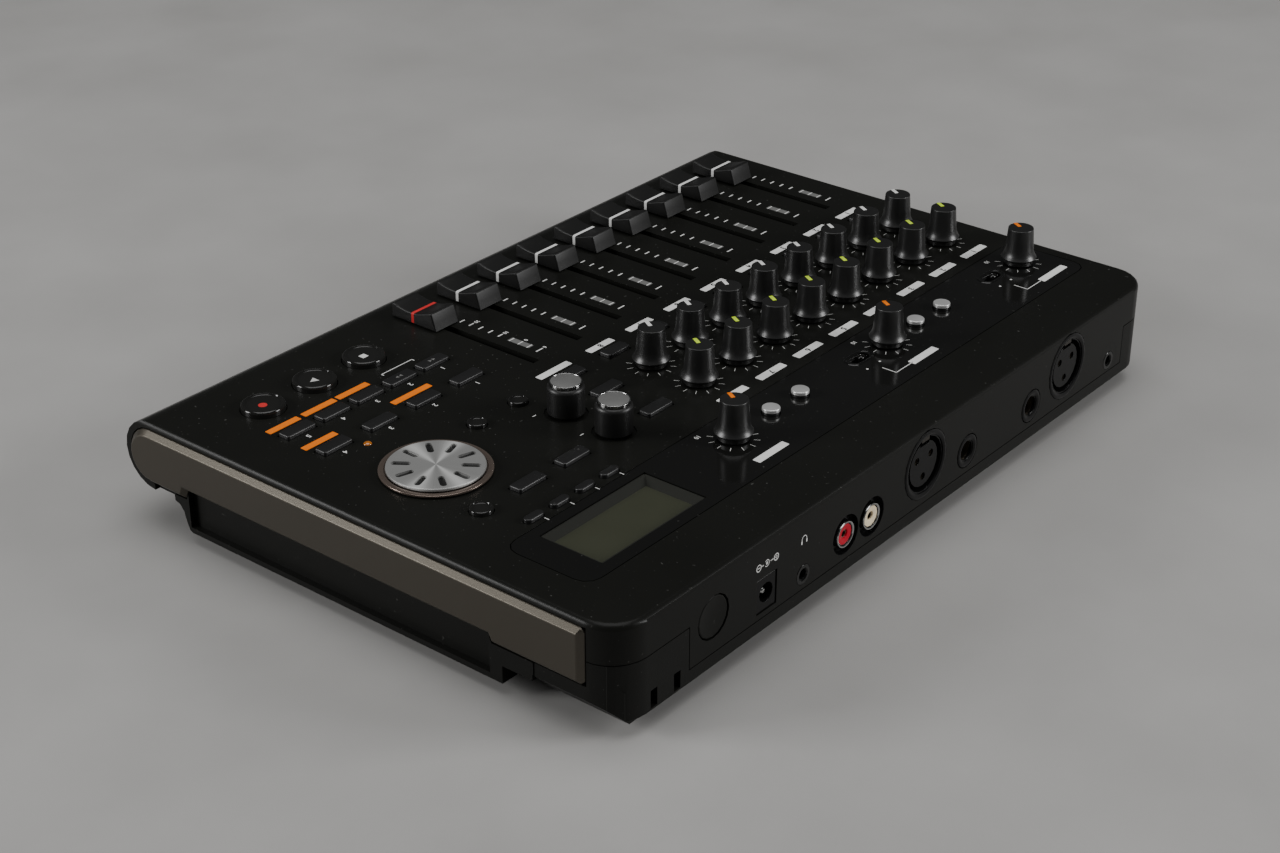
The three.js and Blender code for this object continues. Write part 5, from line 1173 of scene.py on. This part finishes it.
for name in ("microphone_socket_a", "microphone_socket_b", "line_jack_a", "line_jack_b",
             "phono_jack_pair", "power_inlet"):
    moulding(name, socket_plastic, "phono" if name == "phono_jack_pair" else "socket", edge=0.15)
for name, x in (("microphone_socket_a", -88.2), ("microphone_socket_b", -3.0)):
    socket_rings(name, x, MICROPHONE_Z, BEZEL)
    for pin in range(3):
        angle = math.radians(120 * pin - 90)
        socket_rings(name, x + PIN_OUT * math.cos(angle), MICROPHONE_Z + PIN_OUT * math.sin(angle),
                     (f"contact_{pin + 1}", tube(0.85, 1.28, -1.4, -7.5), contact_metal, 20))
    tab, faces = slab(bar(x, MICROPHONE_Z + 8.55, 4.2, 1.5, 0.3), -2.6, -0.5)
    new_piece(name + "_latch", to_back(tab), faces, dark_plating, "casing")
for name, x in (("line_jack_a", -65.9), ("line_jack_b", -27.3)):
    socket_rings(name, x, 18.4, *LINE_RINGS)
for name, x, insert in (("phono_right", 39.2, red_plastic), ("phono_left", 25.8, white_plastic)):
    socket_rings(name, x, 19.0, *PHONO_RINGS, ("insert", PHONO_INSERT, insert, 48), PHONO_CONTACT)
for name, x, height in (("phones_jack", 60.4, 15.6), ("remote_jack", -117.2, 14.9)):
    socket_rings(name, x, height, *JACK_RINGS)
    jack_arch(name + "_arch", x, height + 1.2)
socket_rings("power_inlet", 78.0, 18.2, POWER_PIN)
print("sockets:", 9)

# %% [markdown]
# The back wall carries only plain signs: the polarity of the supply and a pair of headphones.

# %% Signs on the back
SIGN_X = 78.0
SIGN_Y = 28.0
SIGN_PITCH = 4.1
PHONES_X = 60.4
PHONES_Y = 27.4


def ring_plan(x, y, outer, inner, start=0.0, sweep=360.0, steps=24):
    """A ring, or part of one, as quads: the plans of its short pieces."""
    edge = circle(np.radians(start + sweep * np.arange(steps + 1) / steps))
    return [np.array([a * inner, a * outer, b * outer, b * inner]) + (x, y)
            for a, b in zip(edge[:-1], edge[1:])]


signs = []
for x in (SIGN_X - SIGN_PITCH, SIGN_X + SIGN_PITCH):
    signs += ring_plan(x, SIGN_Y, 1.2, 0.88)
    signs.append(bar(x, SIGN_Y, 1.3, 0.3))
signs += [bar(SIGN_X - SIGN_PITCH, SIGN_Y, 0.3, 1.3), bar(SIGN_X - 2.05, SIGN_Y, 1.5, 0.28),
          bar(SIGN_X + 2.3, SIGN_Y, 1.1, 0.28)]
signs += ring_plan(SIGN_X + 0.3, SIGN_Y, 1.15, 0.9, 40, 280)
signs.append(round_plan(SIGN_X + 0.3, SIGN_Y, 0.5, 16))
signs += ring_plan(PHONES_X, PHONES_Y, 1.3, 1.02, -15, 210)
signs += [bar(PHONES_X + side * 1.2, PHONES_Y - 0.8, 0.6, 1.2, 0.2) for side in (-1, 1)]
sign_vertices, sign_faces = printed(signs, 0.0)
new_piece("back_signs", to_back(sign_vertices), sign_faces, white_ink, "casing")
print("sign plans:", len(signs))

# %% [markdown]
# Rubber pads on the four feet.

# %% Feet
FOOT_PLACES = [(x, y) for x in (-121.0, 121.0) for y in (-60.0, 84.0)]
PAD = soft_corners([(0, 0), (6.4, 0), (6.62, 1.8), (6.0, 1.9), (0, 1.9)], 0.4)
for index, at in enumerate(FOOT_PLACES, 1):
    new_piece(f"foot_pad_{index}", *turned(PAD, at, 40), rubber, "casing")
print("foot pads:", len(FOOT_PLACES))
